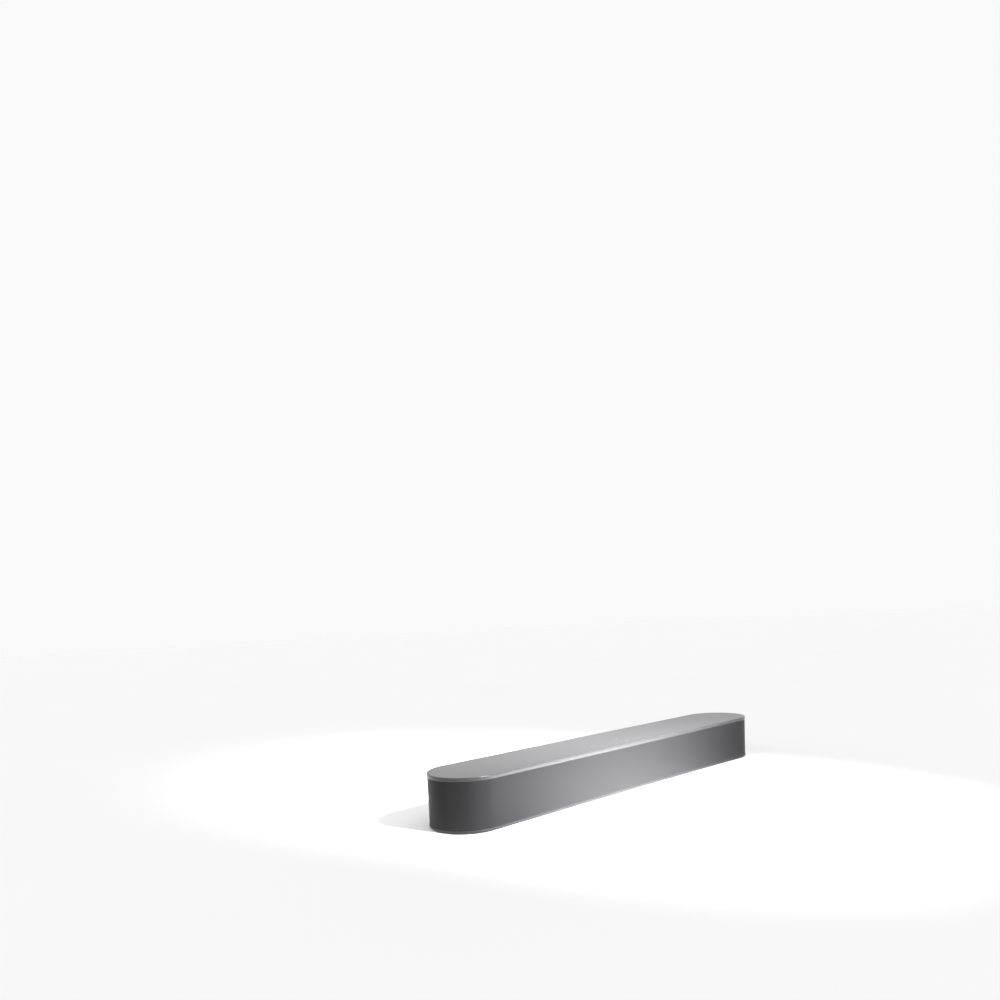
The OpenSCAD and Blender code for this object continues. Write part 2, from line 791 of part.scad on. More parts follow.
module short_screws() color("#77777a") {
    for (s = [-1, 1]) {
        on_front(s * woofer_x) translate([0, 0, flange_t]) flange_corners(woofer_w, woofer_flange)
            short_screw();
        on_front(s * passive_x) translate([0, 0, flange_t]) flange_corners(passive_w, woofer_flange)
            short_screw();
        on_facet(s) translate([0, 0, flange_t]) flange_corners(end_flange, end_flange) short_screw();
    }
    on_front(0) translate([0, 0, flange_t]) flange_corners(tweeter_plate, tweeter_plate) short_screw();
    baffle_screw_places() short_screw();
    for (p = board_holes) translate([p[0], p[1], board_top]) short_screw();
    on_back(box_r + port_flange_t) port_screw_places() mirror([0, 0, 1]) short_screw();
}

// ---------- drivers: z forward, z = 0 on the baffle's front face ----------

function basket_r(flange) = flange / 2 - flange_lip;
function cone_r(flange) = basket_r(flange) - roll_w;

// The magnet leaves room for a lead beside it on the basket's back plate
function magnet_fit_r(flange) = min(magnet_r, basket_r(flange) - 2 * lead_r - gap);

// Basket: a flange with square corners, a wall round the cone and a plate that holds the magnet
module driver_basket(length, flange) color("#3c3c40") {
    r = basket_r(flange);
    difference() {
        union() {
            rounded_plate(length + flange, flange, flange_corner, flange_t);
            racetrack_sweep(length) translate([r - basket_wall, -basket_depth])
                square([basket_wall, basket_depth + gap]);
            translate([0, 0, -basket_depth - plate_t]) racetrack_plate(length, r, plate_t);
        }
        translate([0, 0, -basket_depth])
            racetrack_plate(length, r - basket_wall, basket_depth + flange_t + eps);
        translate([0, 0, -basket_depth - plate_t - eps]) cylinder(r = coil_room_r, h = plate_t + 2 * eps);
        for (s = [-1, 1])
            translate([s * (magnet_fit_r(flange) + length / 2 + r) / 2, 0, -basket_depth - plate_t - eps])
                basket_window(length / 2 + r - magnet_fit_r(flange) - 2 * window_edge);
        for (a = [0, 90, 180, 270]) rotate([0, 0, a]) translate([0, 0, -basket_depth / 2 - slot_drop])
            cube([2 * (length + flange), slot_w, basket_depth / 2], center = true);
        flange_corners(length + flange, flange) translate([0, 0, -eps])
            cylinder(r = screw_r + screw_fit, h = flange_t + 2 * eps);
    }
}

// Vent in the basket's back plate, where there is room beside the magnet
module basket_window(w) {
    if (w > window_edge) translate([-w / 2, -window_w / 2, 0]) cube([w, window_w, plate_t + 2 * eps]);
}

// Magnet: washer, ring and yoke with its pole
module driver_magnet(flange) color("#5a5a5e") {
    r = magnet_fit_r(flange);
    z0 = -basket_depth - plate_t;
    pole_r = coil_r - former_t - gap_r;
    z1 = z0 - washer_t;
    z2 = z1 - magnet_t;
    z3 = z2 - washer_t;
    rotate_extrude() polygon([[coil_r + gap_r, z0], [r - washer_inset, z0], [r - washer_inset, z1],
        [r, z1], [r, z2], [r - washer_inset, z2], [r - washer_inset, z3], [0, z3], [0, z0 + pole_proud],
        [pole_r, z0 + pole_proud], [pole_r, z2], [coil_room_r, z2], [coil_room_r, z1],
        [coil_r + gap_r, z1]]);
}

// Height of the dust cap, from its edge (t = 0) to its middle (t = 1)
function dust_cap(t) = cap_rise * (1 - pow(1 - t, 2));

// Cone: a sloping skirt, a web with a neck round the coil's former, and a dust cap
module driver_cone(length, flange) color("#1c1c1e") {
    r = cone_r(flange);
    web_r = min(coil_r + cone_rim, r - cap_rise);
    difference() {
        union() {
            racetrack_sweep(length)
                polygon([[web_r, cone_web_z], [r, 0], [r + cone_rim, 0], [r + cone_rim, cone_t],
                [r - cone_lap, cone_t], [web_r, cone_web_z + cone_t]]);
            translate([0, 0, cone_web_z]) racetrack_plate(length, web_r, cone_t);
            translate([0, 0, neck_z]) cylinder(r = coil_r + cone_t, h = cone_web_z - neck_z + cone_t);
        }
        translate([0, 0, neck_z - eps]) cylinder(r = coil_r, h = cone_web_z - neck_z + cone_t + 2 * eps);
    }
    former_bottom = -basket_depth - plate_t - washer_t - former_below;
    translate([0, 0, former_bottom]) difference() {
        cylinder(r = coil_r, h = cone_web_z + cone_t - former_bottom);
        translate([0, 0, -eps])
            cylinder(r = coil_r - former_t, h = cone_web_z + cone_t - former_bottom + 2 * eps);
    }
    rotate_extrude() polygon(concat(
        [for (i = [0 : 8]) let (t = i / 8) [coil_r * (1 - t), cone_web_z + cone_t + dust_cap(t)]],
        [for (i = [8 : -1 : 0]) let (t = i / 8) [(coil_r - cone_t) * (1 - t), cone_web_z + dust_cap(t)]]));
}

// Rubber roll: half a tube between the cone's rim and the flange
module driver_surround(length, flange) color("#0f0f10") {
    r = cone_r(flange);
    t = roll_t;
    outer = basket_r(flange) + roll_lap;
    inner = r - cone_lap;
    mid = (r + cone_rim + basket_r(flange) - basket_wall) / 2;
    roll = (basket_r(flange) - basket_wall - r - cone_rim) / 2 + t;
    racetrack_sweep(length) difference() {
        union() {
            translate([inner, cone_t]) square([mid - inner, t]);
            translate([mid, flange_t]) square([outer - mid, t]);
            translate([mid, flange_t]) circle(r = roll);
        }
        translate([mid, flange_t]) circle(r = roll - t);
        translate([mid - roll - eps, -roll * 2]) square([2 * roll + 2 * eps, roll * 2 + cone_t]);
        translate([mid, -roll * 2]) square([roll + eps, roll * 2 + flange_t]);
    }
}

// Spider: the corrugated disc that centres the coil, as wide as the magnet where the basket has room
module driver_spider(flange) color("#8f6f3a") {
    n = 24;
    r0 = coil_r + glue;
    r1 = min(magnet_fit_r(flange), basket_r(flange) - basket_wall - gap - spider_rim);
    z = spider_h - basket_depth;
    wave = [for (i = [0 : n]) let (u = i / n)
        [r0 + (r1 - r0) * u, z + spider_wave * sin(u * 360 * spider_rolls)]];
    rotate_extrude() polygon(concat(wave,
        [[r1 + spider_rim, z], [r1 + spider_rim, -basket_depth], [r1, -basket_depth]],
        [for (i = [n - 1 : -1 : 0]) [wave[i][0], wave[i][1] - spider_t]]));
}

// Tweeter: the dome's coil hangs in the gap round the magnet's pole
tweeter_coil_r = dome_r - 0.95;
tweeter_coil_t = 0.4;
tweeter_gap_r = dome_r + 0.6;
tweeter_magnet_r = dome_r + 3.5;
tweeter_collar_r = tweeter_magnet_r + 1.5;
tweeter_hole_r = tweeter_collar_r + 0.5;
tweeter_roll_r = 1.3;
tweeter_roll_t = 0.35;
tweeter_seat_z = -0.6;
dome_arc_r = 1.3 * dome_r;
dome_arc_z = -0.9 * dome_r;

module tweeter_plate_ring() color("#2a2a2c") on_front(0) {
    difference() {
        rounded_plate(tweeter_plate, tweeter_plate, flange_corner, flange_t);
        translate([0, 0, -eps]) cylinder(r1 = dome_r + 2, r2 = dome_r + 6, h = flange_t + 2 * eps);
        flange_corners(tweeter_plate, tweeter_plate) translate([0, 0, -eps])
            cylinder(r = screw_r + screw_fit, h = flange_t + 2 * eps);
    }
}

module tweeter_magnet() color("#5a5a5e") on_front(0) {
    pole_r = tweeter_coil_r - tweeter_coil_t - 0.55;
    rotate_extrude() polygon([[tweeter_gap_r, -2], [tweeter_gap_r, -3.5], [tweeter_gap_r + 0.9, -5],
        [tweeter_gap_r + 0.9, -12], [pole_r, -12], [pole_r, -2.5], [0, -2.5], [0, -tweeter_depth],
        [tweeter_magnet_r, -tweeter_depth], [tweeter_magnet_r, -3], [tweeter_collar_r, -3],
        [tweeter_collar_r, 0], [tweeter_magnet_r, 0], [tweeter_magnet_r, tweeter_seat_z],
        [tweeter_magnet_r - 1, tweeter_seat_z], [tweeter_magnet_r - 1, -2]]);
}

module tweeter_dome() color("#77777a") on_front(0) {
    dome_t = 0.4;
    rotate_extrude() polygon(concat(arc([0, dome_arc_z], dome_arc_r, 46, 90, 8),
        arc([0, dome_arc_z], dome_arc_r - dome_t, 90, 46, 8)));
    translate([0, 0, -7]) difference() {
        cylinder(r = tweeter_coil_r, h = 7.5);
        translate([0, 0, -eps]) cylinder(r = tweeter_coil_r - tweeter_coil_t, h = 7.5 + 2 * eps);
    }
}

module tweeter_surround() color("#141416") on_front(0) {
    mid = tweeter_coil_r + 0.2 + tweeter_roll_r;
    rotate_extrude() difference() {
        union() {
            translate([mid, tweeter_seat_z]) square([tweeter_magnet_r - 0.1 - mid, tweeter_roll_t]);
            translate([mid, tweeter_seat_z]) circle(r = tweeter_roll_r);
        }
        translate([mid, tweeter_seat_z]) circle(r = tweeter_roll_r - tweeter_roll_t);
        translate([mid - 2 * tweeter_roll_r, tweeter_seat_z - 2 * tweeter_roll_r])
            square([4 * tweeter_roll_r, 2 * tweeter_roll_r]);
    }
}

module passive_frame() color("#3c3c40") {
    r = basket_r(woofer_flange);
    difference() {
        union() {
            rounded_plate(passive_w, woofer_flange, flange_corner, flange_t);
            racetrack_sweep(passive_span) translate([r - basket_wall, -passive_depth])
                square([basket_wall, passive_depth + gap]);
        }
        translate([0, 0, -eps]) racetrack_plate(passive_span, r - basket_wall, flange_t + 2 * eps);
        flange_corners(passive_w, woofer_flange) translate([0, 0, -eps])
            cylinder(r = screw_r + screw_fit, h = flange_t + 2 * eps);
    }
}

module passive_plate() color("#202022") {
    r = cone_r(woofer_flange);
    difference() {
        union() {
            translate([0, 0, -passive_t]) racetrack_plate(passive_span, r + cone_rim, passive_t + cone_t);
            translate([0, 0, -passive_t - passive_weight_t])
                racetrack_plate(passive_span / 2, r / 2, passive_weight_t + passive_dish / 2);
        }
        translate([0, 0, -passive_dish])
            racetrack_plate(passive_span, r - 2 * cone_rim, passive_t + cone_t);
    }
}

// ---------- nodes ----------

module woofer(s, part) {
    on_front(s * woofer_x) {
        if (part == "basket") driver_basket(woofer_span, woofer_flange);
        if (part == "magnet") driver_magnet(woofer_flange);
        if (part == "cone") driver_cone(woofer_span, woofer_flange);
        if (part == "surround") driver_surround(woofer_span, woofer_flange);
        if (part == "spider") driver_spider(woofer_flange);
    }
}

module end_driver(s, part) {
    on_facet(s) {
        if (part == "basket") driver_basket(0, end_flange);
        if (part == "magnet") driver_magnet(end_flange);
        if (part == "cone") driver_cone(0, end_flange);
        if (part == "surround") driver_surround(0, end_flange);
        if (part == "spider") driver_spider(end_flange);
    }
}

module passive(s, part) {
    on_front(s * passive_x) {
        if (part == "frame") passive_frame();
        if (part == "surround") driver_surround(passive_span, woofer_flange);
        if (part == "plate") passive_plate();
    }
}

sides = [["left", -1], ["right", 1]];

top_cover();
base_cover();
grille();
dust_cloth();
front_baffle();
rear_housing();
baffle_gasket();
connector_panel();
feet();
threaded_inserts();
cover_screws();
short_screws();
main_board();
main_board_parts();
heat_sink();
power_board();
power_board_parts();
touch_board();
touch_ribbon();
antennas();
speaker_leads();
power_inlet();
inlet_pins();
video_socket();
video_tongue();
network_socket();
network_contacts();
join_button();
light_pipe();
tweeter_plate_ring();
tweeter_magnet();
tweeter_dome();
tweeter_surround();
for (side = sides) {
    for (part = ["basket", "magnet", "cone", "surround", "spider"]) {
        woofer(side[1], part);
        end_driver(side[1], part);
    }
    for (part = ["frame", "surround", "plate"])
        passive(side[1], part);
}
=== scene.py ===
import json
import math

import bmesh
import bpy
from mathutils import Matrix, Vector


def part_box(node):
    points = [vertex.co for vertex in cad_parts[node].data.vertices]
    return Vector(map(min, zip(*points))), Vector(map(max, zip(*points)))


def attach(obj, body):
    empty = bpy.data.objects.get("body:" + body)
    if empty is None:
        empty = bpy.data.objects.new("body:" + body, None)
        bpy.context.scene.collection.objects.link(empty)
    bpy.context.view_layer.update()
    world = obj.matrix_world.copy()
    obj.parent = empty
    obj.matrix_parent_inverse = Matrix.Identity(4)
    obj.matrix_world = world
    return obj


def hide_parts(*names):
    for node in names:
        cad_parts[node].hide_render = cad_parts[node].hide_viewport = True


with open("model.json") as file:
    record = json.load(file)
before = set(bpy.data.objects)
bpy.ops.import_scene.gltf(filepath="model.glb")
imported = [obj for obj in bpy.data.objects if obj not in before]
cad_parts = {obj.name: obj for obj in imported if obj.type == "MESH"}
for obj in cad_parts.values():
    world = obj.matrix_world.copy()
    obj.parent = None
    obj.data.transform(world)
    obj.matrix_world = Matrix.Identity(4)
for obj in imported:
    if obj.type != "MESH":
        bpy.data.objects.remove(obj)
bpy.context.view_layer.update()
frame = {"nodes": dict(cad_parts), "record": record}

MM = 0.001
ROOT = "cabinet"

# ---------- the frame's sizes ----------

RECORD = frame["record"]
SLOT_OF = {part["node"]: part["material_slot"] for part in RECORD["subparts"]}
MOUNTS = {mount["name"]: mount for mount in RECORD["mounts"]}

TOP_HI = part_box("top_cover")[1]
BASE_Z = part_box("base_cover")[0][2]
GRILLE_LO, GRILLE_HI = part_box("grille")
CLOTH_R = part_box("dust_cloth")[1][1]
PANEL_LO, PANEL_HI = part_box("connector_panel")
SCREWS_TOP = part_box("cover_screws")[1][2]
FEET_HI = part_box("feet")[1]
PIPE_LO, PIPE_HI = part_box("light_pipe")

RIM_R = TOP_HI[1]
SPAN = 2 * (TOP_HI[0] - RIM_R)
BAR_TOP = TOP_HI[2]
GRILLE_R = GRILLE_HI[1]
GRILLE_BOTTOM = GRILLE_LO[2]
GRILLE_TOP = GRILLE_HI[2]
CLOTH_T = 0.4 * MM
LIP_H = 4 * MM
LIP_R = CLOTH_R - CLOTH_T - 0.2 * MM
LIP_IN = LIP_R - 1.6 * MM
PLATE_T = 2.4 * MM
PLATE_UNDER = BAR_TOP - PLATE_T

# Places of the holes in the covers
SCREW_R = 1.5 * MM
SCREW_HEAD_R = 3 * MM
SCREW_HEAD_H = 1.5 * MM
SCREW_X = (0.1521, 0.10955, 0.21396)
SCREW_Y = (-31.5 * MM, 38 * MM, 38 * MM)
FOOT_L = 44 * MM
FOOT_W = 9 * MM
MIC_X = 54 * MM
MIC_Y = 9 * MM
MIC_R = 0.6 * MM

FOOT_FIT = 0.05 * MM
INSERT_R = 4 * MM
INSERT_BORE_R = MOUNTS["insert_left"]["dims"]["r_mm"] * MM
FLAT_INSET = 0.4 * MM
INSERTS_AT = [MOUNTS[name]["pos_m"][:2] for name in ("insert_left", "insert_right")]

# Connector bay
PORT_FIT = 0.3 * MM
PORT_BORDER = 1.2 * MM
PORT_FLANGE = 8 * MM
PORT_FLANGE_T = 1.2 * MM
PORT_WALL = 1.6 * MM
PORT_CORNER = 5 * MM
PORT_HALF_W = PANEL_HI[0] - PORT_FLANGE
PORT_HALF_H = 13 * MM
BUTTON_LO, BUTTON_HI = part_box("join_button")
BUTTON_X = (BUTTON_LO[0] + BUTTON_HI[0]) / 2
PORT_Z = (BUTTON_LO[2] + BUTTON_HI[2]) / 2
PORT_FLOOR_T = 2 * MM
PORT_FLOOR_Y = PANEL_LO[1] + PORT_FLOOR_T
BOX_R = 45 * MM


# ---------- meshes ----------

def racetrack(radius, steps=90, span=SPAN):
    """Points of a racetrack round the frame's Z axis, anticlockwise, with the length run so far.
    Each straight has a point a little way in from its ends, so that it shades flat."""
    points = []
    run = 0.0
    inset = span / 50
    for side in (1, -1):
        for i in range(steps + 1):
            angle = math.pi * (i / steps - 0.5) + (0 if side > 0 else math.pi)
            points.append((side * span / 2 + radius * math.cos(angle), radius * math.sin(angle), run))
            run += math.pi * GRILLE_R / steps if i < steps else inset
        for reach, onward in ((span / 2 - inset, span - 2 * inset), (inset - span / 2, inset)):
            points.append((side * reach, side * radius, run))
            run += onward
    return points, run


def arc(centre, radius, start, end, steps=6):
    """Points of a round stretch in a section, from one angle to the other, in degrees."""
    angles = (math.radians(start + (end - start) * i / steps) for i in range(steps + 1))
    return [(centre[0] + radius * math.cos(a), centre[1] + radius * math.sin(a)) for a in angles]


def circle(radius, steps=48):
    turn = 2 * math.pi / steps
    return [(radius * math.cos(i * turn), radius * math.sin(i * turn)) for i in range(steps)]


def rounded_rectangle(width, height, radius, steps=8):
    points = []
    for k, (sx, sy) in enumerate(((1, 1), (-1, 1), (-1, -1), (1, -1))):
        centre = (sx * (width / 2 - radius), sy * (height / 2 - radius))
        points += arc(centre, radius, 90 * k, 90 * k + 90, steps)
    return points


def stadium(width, height, steps=16):
    """A flat racetrack's outline, this wide and this high."""
    return [point[:2] for point in racetrack(height / 2, steps, width - height)[0]]


def upright(outline, y, x=0.0, z=0.0):
    """An outline drawn flat, stood up in the plane at this depth."""
    return [(x + across, y, z + up) for across, up in outline]


def level(outline, z, x=0.0, y=0.0):
    """An outline laid at this height."""
    return [(x + across, y + along, z) for across, along in outline]


def make_object(name, mesh):
    obj = bpy.data.objects.new(name, mesh)
    bpy.context.scene.collection.objects.link(obj)
    return obj


def smooth(mesh, sharp_angle=32):
    """Shades a mesh smooth except where its faces meet at more than the angle."""
    for polygon in mesh.polygons:
        polygon.use_smooth = True
    mesh.set_sharp_from_angle(angle=math.radians(sharp_angle))


def finish_mesh(name, bm):
    bmesh.ops.recalc_face_normals(bm, faces=bm.faces)
    mesh = bpy.data.meshes.new(name)
    bm.to_mesh(mesh)
    bm.free()
    smooth(mesh)
    return make_object(name, mesh)


def loft(name, loops, closed=False, runs=None):
    """Joins loops of points in turn. A closed loft makes a ring; an open one is capped flat at both ends.
    The runs, lengths along a loop, give the mesh its "surface" UV map."""
    bm = bmesh.new()
    uv_layer = bm.loops.layers.uv.new("surface") if runs else None
    rings = [[bm.verts.new(point) for point in loop] for loop in loops]
    count = len(loops[0])
    pairs = len(rings) if closed else len(rings) - 1
    for k in range(pairs):
        low, high = rings[k], rings[(k + 1) % len(rings)]
        for i in range(count):
            j = (i + 1) % count
            face = bm.faces.new((low[i], low[j], high[j], high[i]))
            if runs:
                for loop, run in zip(face.loops, (runs[i], runs[i + 1], runs[i + 1], runs[i])):
                    loop[uv_layer].uv = (run, loop.vert.co.z)
    if not closed:
        bm.faces.new(rings[0])
        bm.faces.new(rings[-1])
    return finish_mesh(name, bm)


def sweep(name, section, closed=False, steps=90):
    """Carries a section of (radius, height) points round the bar's racetrack."""
    stations, perimeter = racetrack(section[0][0], steps)
    runs = [run for _, _, run in stations] + [perimeter]
    loops = [[(x, y, height) for x, y, _ in racetrack(radius, steps)[0]] for radius, height in section]
    return loft(name, loops, closed, runs)


def turned(name, profile, steps=48):
    """A solid of revolution about Z from (radius, height) points, flat at both ends."""
    return loft(name, [level(circle(radius, steps), height) for radius, height in profile])


def boxed(name, low, high):
    """A box between two corners, a start for cuts and rounded edges."""
    outline = [(low[0], low[1]), (high[0], low[1]), (high[0], high[1]), (low[0], high[1])]
    return loft(name, [level(outline, low[2]), level(outline, high[2])])


def moved(obj, x, y, z, facing_back=False):
    """Puts a shape made at the origin in its place, its Z axis turned to the back where asked."""
    turn = Matrix.Rotation(math.radians(-90), 4, "X") if facing_back else Matrix.Identity(4)
    obj.data.transform(Matrix.Translation((x, y, z)) @ turn)
    return obj


def applied(obj):
    """Applies an object's modifiers to its mesh."""
    bpy.context.view_layer.update()
    graph = bpy.context.evaluated_depsgraph_get()
    mesh = bpy.data.meshes.new_from_object(obj.evaluated_get(graph))
    obj.modifiers.clear()
    old = obj.data
    obj.data = mesh
    bpy.data.meshes.remove(old)
    smooth(mesh)


def boolean(obj, tools, operation):
    """Adds each tool to the object or takes it away, then removes the tools."""
    for tool in tools:
        modifier = obj.modifiers.new(operation.lower(), "BOOLEAN")
        modifier.operation = operation
        modifier.solver = "EXACT"
        modifier.object = tool
    applied(obj)
    for tool in tools:
        bpy.data.objects.remove(tool)


def cut(obj, tools):
    boolean(obj, tools, "DIFFERENCE")


def soften(obj, width, segments=2, angle=40):
    """Rounds an object's sharp edges."""
    modifier = obj.modifiers.new("soften", "BEVEL")
    modifier.width = width
    modifier.segments = segments
    modifier.limit_method = "ANGLE"
    modifier.angle_limit = math.radians(angle)
    applied(obj)


def join(name, objects):
    """Joins objects into one mesh."""
    bm = bmesh.new()
    for obj in objects:
        bm.from_mesh(obj.data)
        bpy.data.objects.remove(obj)
    return finish_mesh(name, bm)


def place(piece, body, node, slot=None):
    """Lets a piece stand for a CAD node, in that node's material slot unless another is given."""
    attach(piece, body)
    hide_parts(node)
    dress(piece, slot or SLOT_OF[node])


# ---------- materials ----------

class Look:
    """A material and short calls that add its nodes."""

    def __init__(self, name, color, roughness, metallic=0.0, specular=0.5):
        self.material = bpy.data.materials.new(name)
        self.material.use_nodes = True
        self.tree = self.material.node_tree
        self.shader = self.tree.nodes["Principled BSDF"]
        self.shader.inputs["Base Color"].default_value = (*color[:3], 1)
        self.shader.inputs["Roughness"].default_value = roughness
        self.shader.inputs["Metallic"].default_value = metallic
        self.shader.inputs["Specular IOR Level"].default_value = specular
        self.coordinates = self.node("ShaderNodeTexCoord").outputs["Object"]

    def node(self, kind, **values):
        node = self.tree.nodes.new(kind)
        for key, value in values.items():
            setattr(node, key, value)
        return node

    def link(self, source, target):
        self.tree.links.new(source, target)

    def math(self, operation, first, second=0.0, third=0.0, clamp=False):
        node = self.node("ShaderNodeMath", operation=operation, use_clamp=clamp)
        for socket, value in zip(node.inputs, (first, second, third)):
            if isinstance(value, (int, float)):
                socket.default_value = value
            else:
                self.link(value, socket)
        return node.outputs[0]

    def stretched(self, scale):
        mapping = self.node("ShaderNodeMapping")
        mapping.inputs["Scale"].default_value = scale
        self.link(self.coordinates, mapping.inputs["Vector"])
        return mapping.outputs[0]

    def noise(self, size, detail=3.0, stretch=None):
        """Noise whose features are about this size, in metres."""
        node = self.node("ShaderNodeTexNoise")
        node.inputs["Scale"].default_value = 1.0 / size
        node.inputs["Detail"].default_value = detail
        self.link(self.stretched(stretch) if stretch else self.coordinates, node.inputs["Vector"])
        return node.outputs["Fac"]

    def range(self, value, low, high, from_low=0.0, from_high=1.0):
        node = self.node("ShaderNodeMapRange")
        self.link(value, node.inputs["Value"])
        limits = (("From Min", from_low), ("From Max", from_high), ("To Min", low), ("To Max", high))
        for name, number in limits:
            node.inputs[name].default_value = number
        return node.outputs["Result"]

    def mix(self, factor, first, second):
        node = self.node("ShaderNodeMix", data_type="RGBA")
        self.link(factor, node.inputs["Factor"])
        for name, value in (("A", first), ("B", second)):
            socket = next(s for s in node.inputs if s.name == name and s.type == "RGBA")
            if isinstance(value, tuple):
                socket.default_value = (*value[:3], 1)
            else:
                self.link(value, socket)
        return next(s for s in node.outputs if s.type == "RGBA")

    def color(self, output):
        self.link(output, self.shader.inputs["Base Color"])
        return self

    def roughness(self, output):
        self.link(output, self.shader.inputs["Roughness"])
        return self

    def bump(self, height, distance, strength=1.0):
        node = self.node("ShaderNodeBump")
        node.inputs["Distance"].default_value = distance
        node.inputs["Strength"].default_value = strength
        self.link(height, node.inputs["Height"])
        previous = self.shader.inputs["Normal"].links
        if previous:
            self.link(previous[0].from_socket, node.inputs["Normal"])
        self.link(node.outputs["Normal"], self.shader.inputs["Normal"])
        return self


def shade(color, factor):
    return tuple(min(1.0, channel * factor) for channel in color[:3])


def moulded(name, color, roughness=0.5, grain=0.5 * MM, depth=0.02 * MM, specular=0.45):
    """Moulded plastic: a fine spark-eroded grain and slightly uneven gloss."""
    look = Look(name, color, roughness, specular=specular)
    grain_height = look.noise(grain, 2)
    look.color(look.mix(grain_height, shade(color, 0.93), shade(color, 1.07)))
    look.roughness(look.range(look.noise(3 * grain, 3), roughness - 0.03, roughness + 0.03, 0.3, 0.7))
    look.bump(grain_height, depth, 0.6)
    return look


def perforated(name, color, roughness, pitch, hole, low, high):
    """Moulded plastic with rows of fine holes, in a hexagonal order, between two heights."""
    look = moulded(name, color, roughness, 0.35 * MM, 0.01 * MM, specular=0.27)
    surface = look.node("ShaderNodeUVMap", uv_map="surface").outputs[0]
    split = look.node("ShaderNodeSeparateXYZ")
    look.link(surface, split.inputs[0])
    along = look.math("DIVIDE", split.outputs[0], pitch)
    up = look.math("DIVIDE", split.outputs[1], pitch * math.sqrt(3))

    def to_centre(shift):
        across = look.math("SUBTRACT", look.math("FRACT", look.math("ADD", along, shift)), 0.5)
        upward = look.math("SUBTRACT", look.math("FRACT", look.math("ADD", up, shift)), 0.5)
        upward = look.math("MULTIPLY", upward, math.sqrt(3))
        across_squared = look.math("MULTIPLY", across, across)
        upward_squared = look.math("MULTIPLY", upward, upward)
        return look.math("SQRT", look.math("ADD", across_squared, upward_squared))

    distance = look.math("MINIMUM", to_centre(0.0), to_centre(0.5))
    radius = hole / 2 / pitch
    inside = look.range(distance, 1.0, 0.0, radius * 0.82, radius * 1.12)
    above = look.math("GREATER_THAN", split.outputs[1], low)
    below = look.math("LESS_THAN", split.outputs[1], high)
    place_of = look.node("ShaderNodeSeparateXYZ")
    look.link(look.coordinates, place_of.inputs[0])
    from_middle = look.math("ABSOLUTE", place_of.outputs[0])
    beside = look.math("GREATER_THAN", from_middle, PORT_HALF_W + PORT_BORDER)
    from_port = look.math("ABSOLUTE", look.math("SUBTRACT", place_of.outputs[2], PORT_Z))
    over = look.math("GREATER_THAN", from_port, PORT_HALF_H + PORT_BORDER)
    front = look.math("LESS_THAN", place_of.outputs[1], 0.0)
    clear = look.math("MAXIMUM", look.math("MAXIMUM", beside, over), front)
    band = look.math("MULTIPLY", above, below)
    holes = look.math("MULTIPLY", look.math("MULTIPLY", inside, clear), band)
    solid = look.shader.inputs["Base Color"].links[0].from_socket
    look.color(look.mix(holes, solid, (0.002, 0.002, 0.002)))
    look.roughness(look.range(holes, roughness, 0.9))
    look.bump(look.math("SUBTRACT", 1.0, holes), 0.25 * MM, 0.8)
    return look


def top_plastic(name, color):
    """The top cover's satin plastic, with small printed marks over the touch controls."""
    look = moulded(name, color, 0.34, 0.35 * MM, 0.004 * MM, specular=0.55)
    look.shader.inputs["Coat Weight"].default_value = 0.3
    look.shader.inputs["Coat Roughness"].default_value = 0.28
    split = look.node("ShaderNodeSeparateXYZ")
    look.link(look.coordinates, split.inputs[0])
    y = look.math("ABSOLUTE", look.math("SUBTRACT", split.outputs[1], MARK_Y))

    def off(x):
        return look.math("SUBTRACT", split.outputs[0], x)

    def within(value, limit):
        return look.math("LESS_THAN", value, limit)

    def bar(x, half_length, half_width):
        beside = within(look.math("ABSOLUTE", off(x)), half_length)
        return look.math("MULTIPLY", beside, within(y, half_width))

    slope = look.math("ADD", look.math("MULTIPLY", y, 1.6), off(0.0))
    triangle = look.math("MULTIPLY", within(slope, MARK_SIZE * 0.55),
                         look.math("GREATER_THAN", off(0.0), -MARK_SIZE * 0.45))
    marks = look.math("MAXIMUM", triangle, bar(-MARK_PITCH, MARK_SIZE / 2, MARK_LINE))
    marks = look.math("MAXIMUM", marks, bar(MARK_PITCH, MARK_SIZE / 2, MARK_LINE))
    marks = look.math("MAXIMUM", marks, bar(MARK_PITCH, MARK_LINE, MARK_SIZE / 2))
    marks = look.math("MULTIPLY", marks, look.math("GREATER_THAN", split.outputs[2], BAR_TOP - MM))
    solid = look.shader.inputs["Base Color"].links[0].from_socket
    look.color(look.mix(look.math("MULTIPLY", marks, 0.7), solid, (0.2, 0.2, 0.2)))
    return look


def rubber(name, color):
    look = Look(name, color, 0.75, specular=0.3)
    look.color(look.mix(look.noise(6 * MM, 4), shade(color, 0.75), shade(color, 1.35)))
    look.roughness(look.range(look.noise(2 * MM), 0.68, 0.86, 0.3, 0.7))
    look.bump(look.noise(0.3 * MM, 3), 0.03 * MM, 0.7)
    return look


def woven(name, color, pitch):
    """A plain weave: two crossed rows of threads."""
    look = Look(name, color, 0.9, specular=0.15)
    look.shader.inputs["Sheen Weight"].default_value = 0.25
    split = look.node("ShaderNodeSeparateXYZ")
    look.link(look.coordinates, split.inputs[0])
    along = look.math("ADD", split.outputs[0], split.outputs[1])
    warp = look.math("SINE", look.math("MULTIPLY", along, 2 * math.pi / pitch))
    weft = look.math("SINE", look.math("MULTIPLY", split.outputs[2], 2 * math.pi / pitch))
    weave = look.math("ADD", look.math("MULTIPLY", look.math("MULTIPLY", warp, weft), 0.5), 0.5)
    look.color(look.mix(weave, shade(color, 0.6), shade(color, 1.3)))
    look.roughness(look.range(look.noise(3 * MM), 0.82, 0.96))
    look.bump(weave, 0.12 * MM, 0.6)
    return look


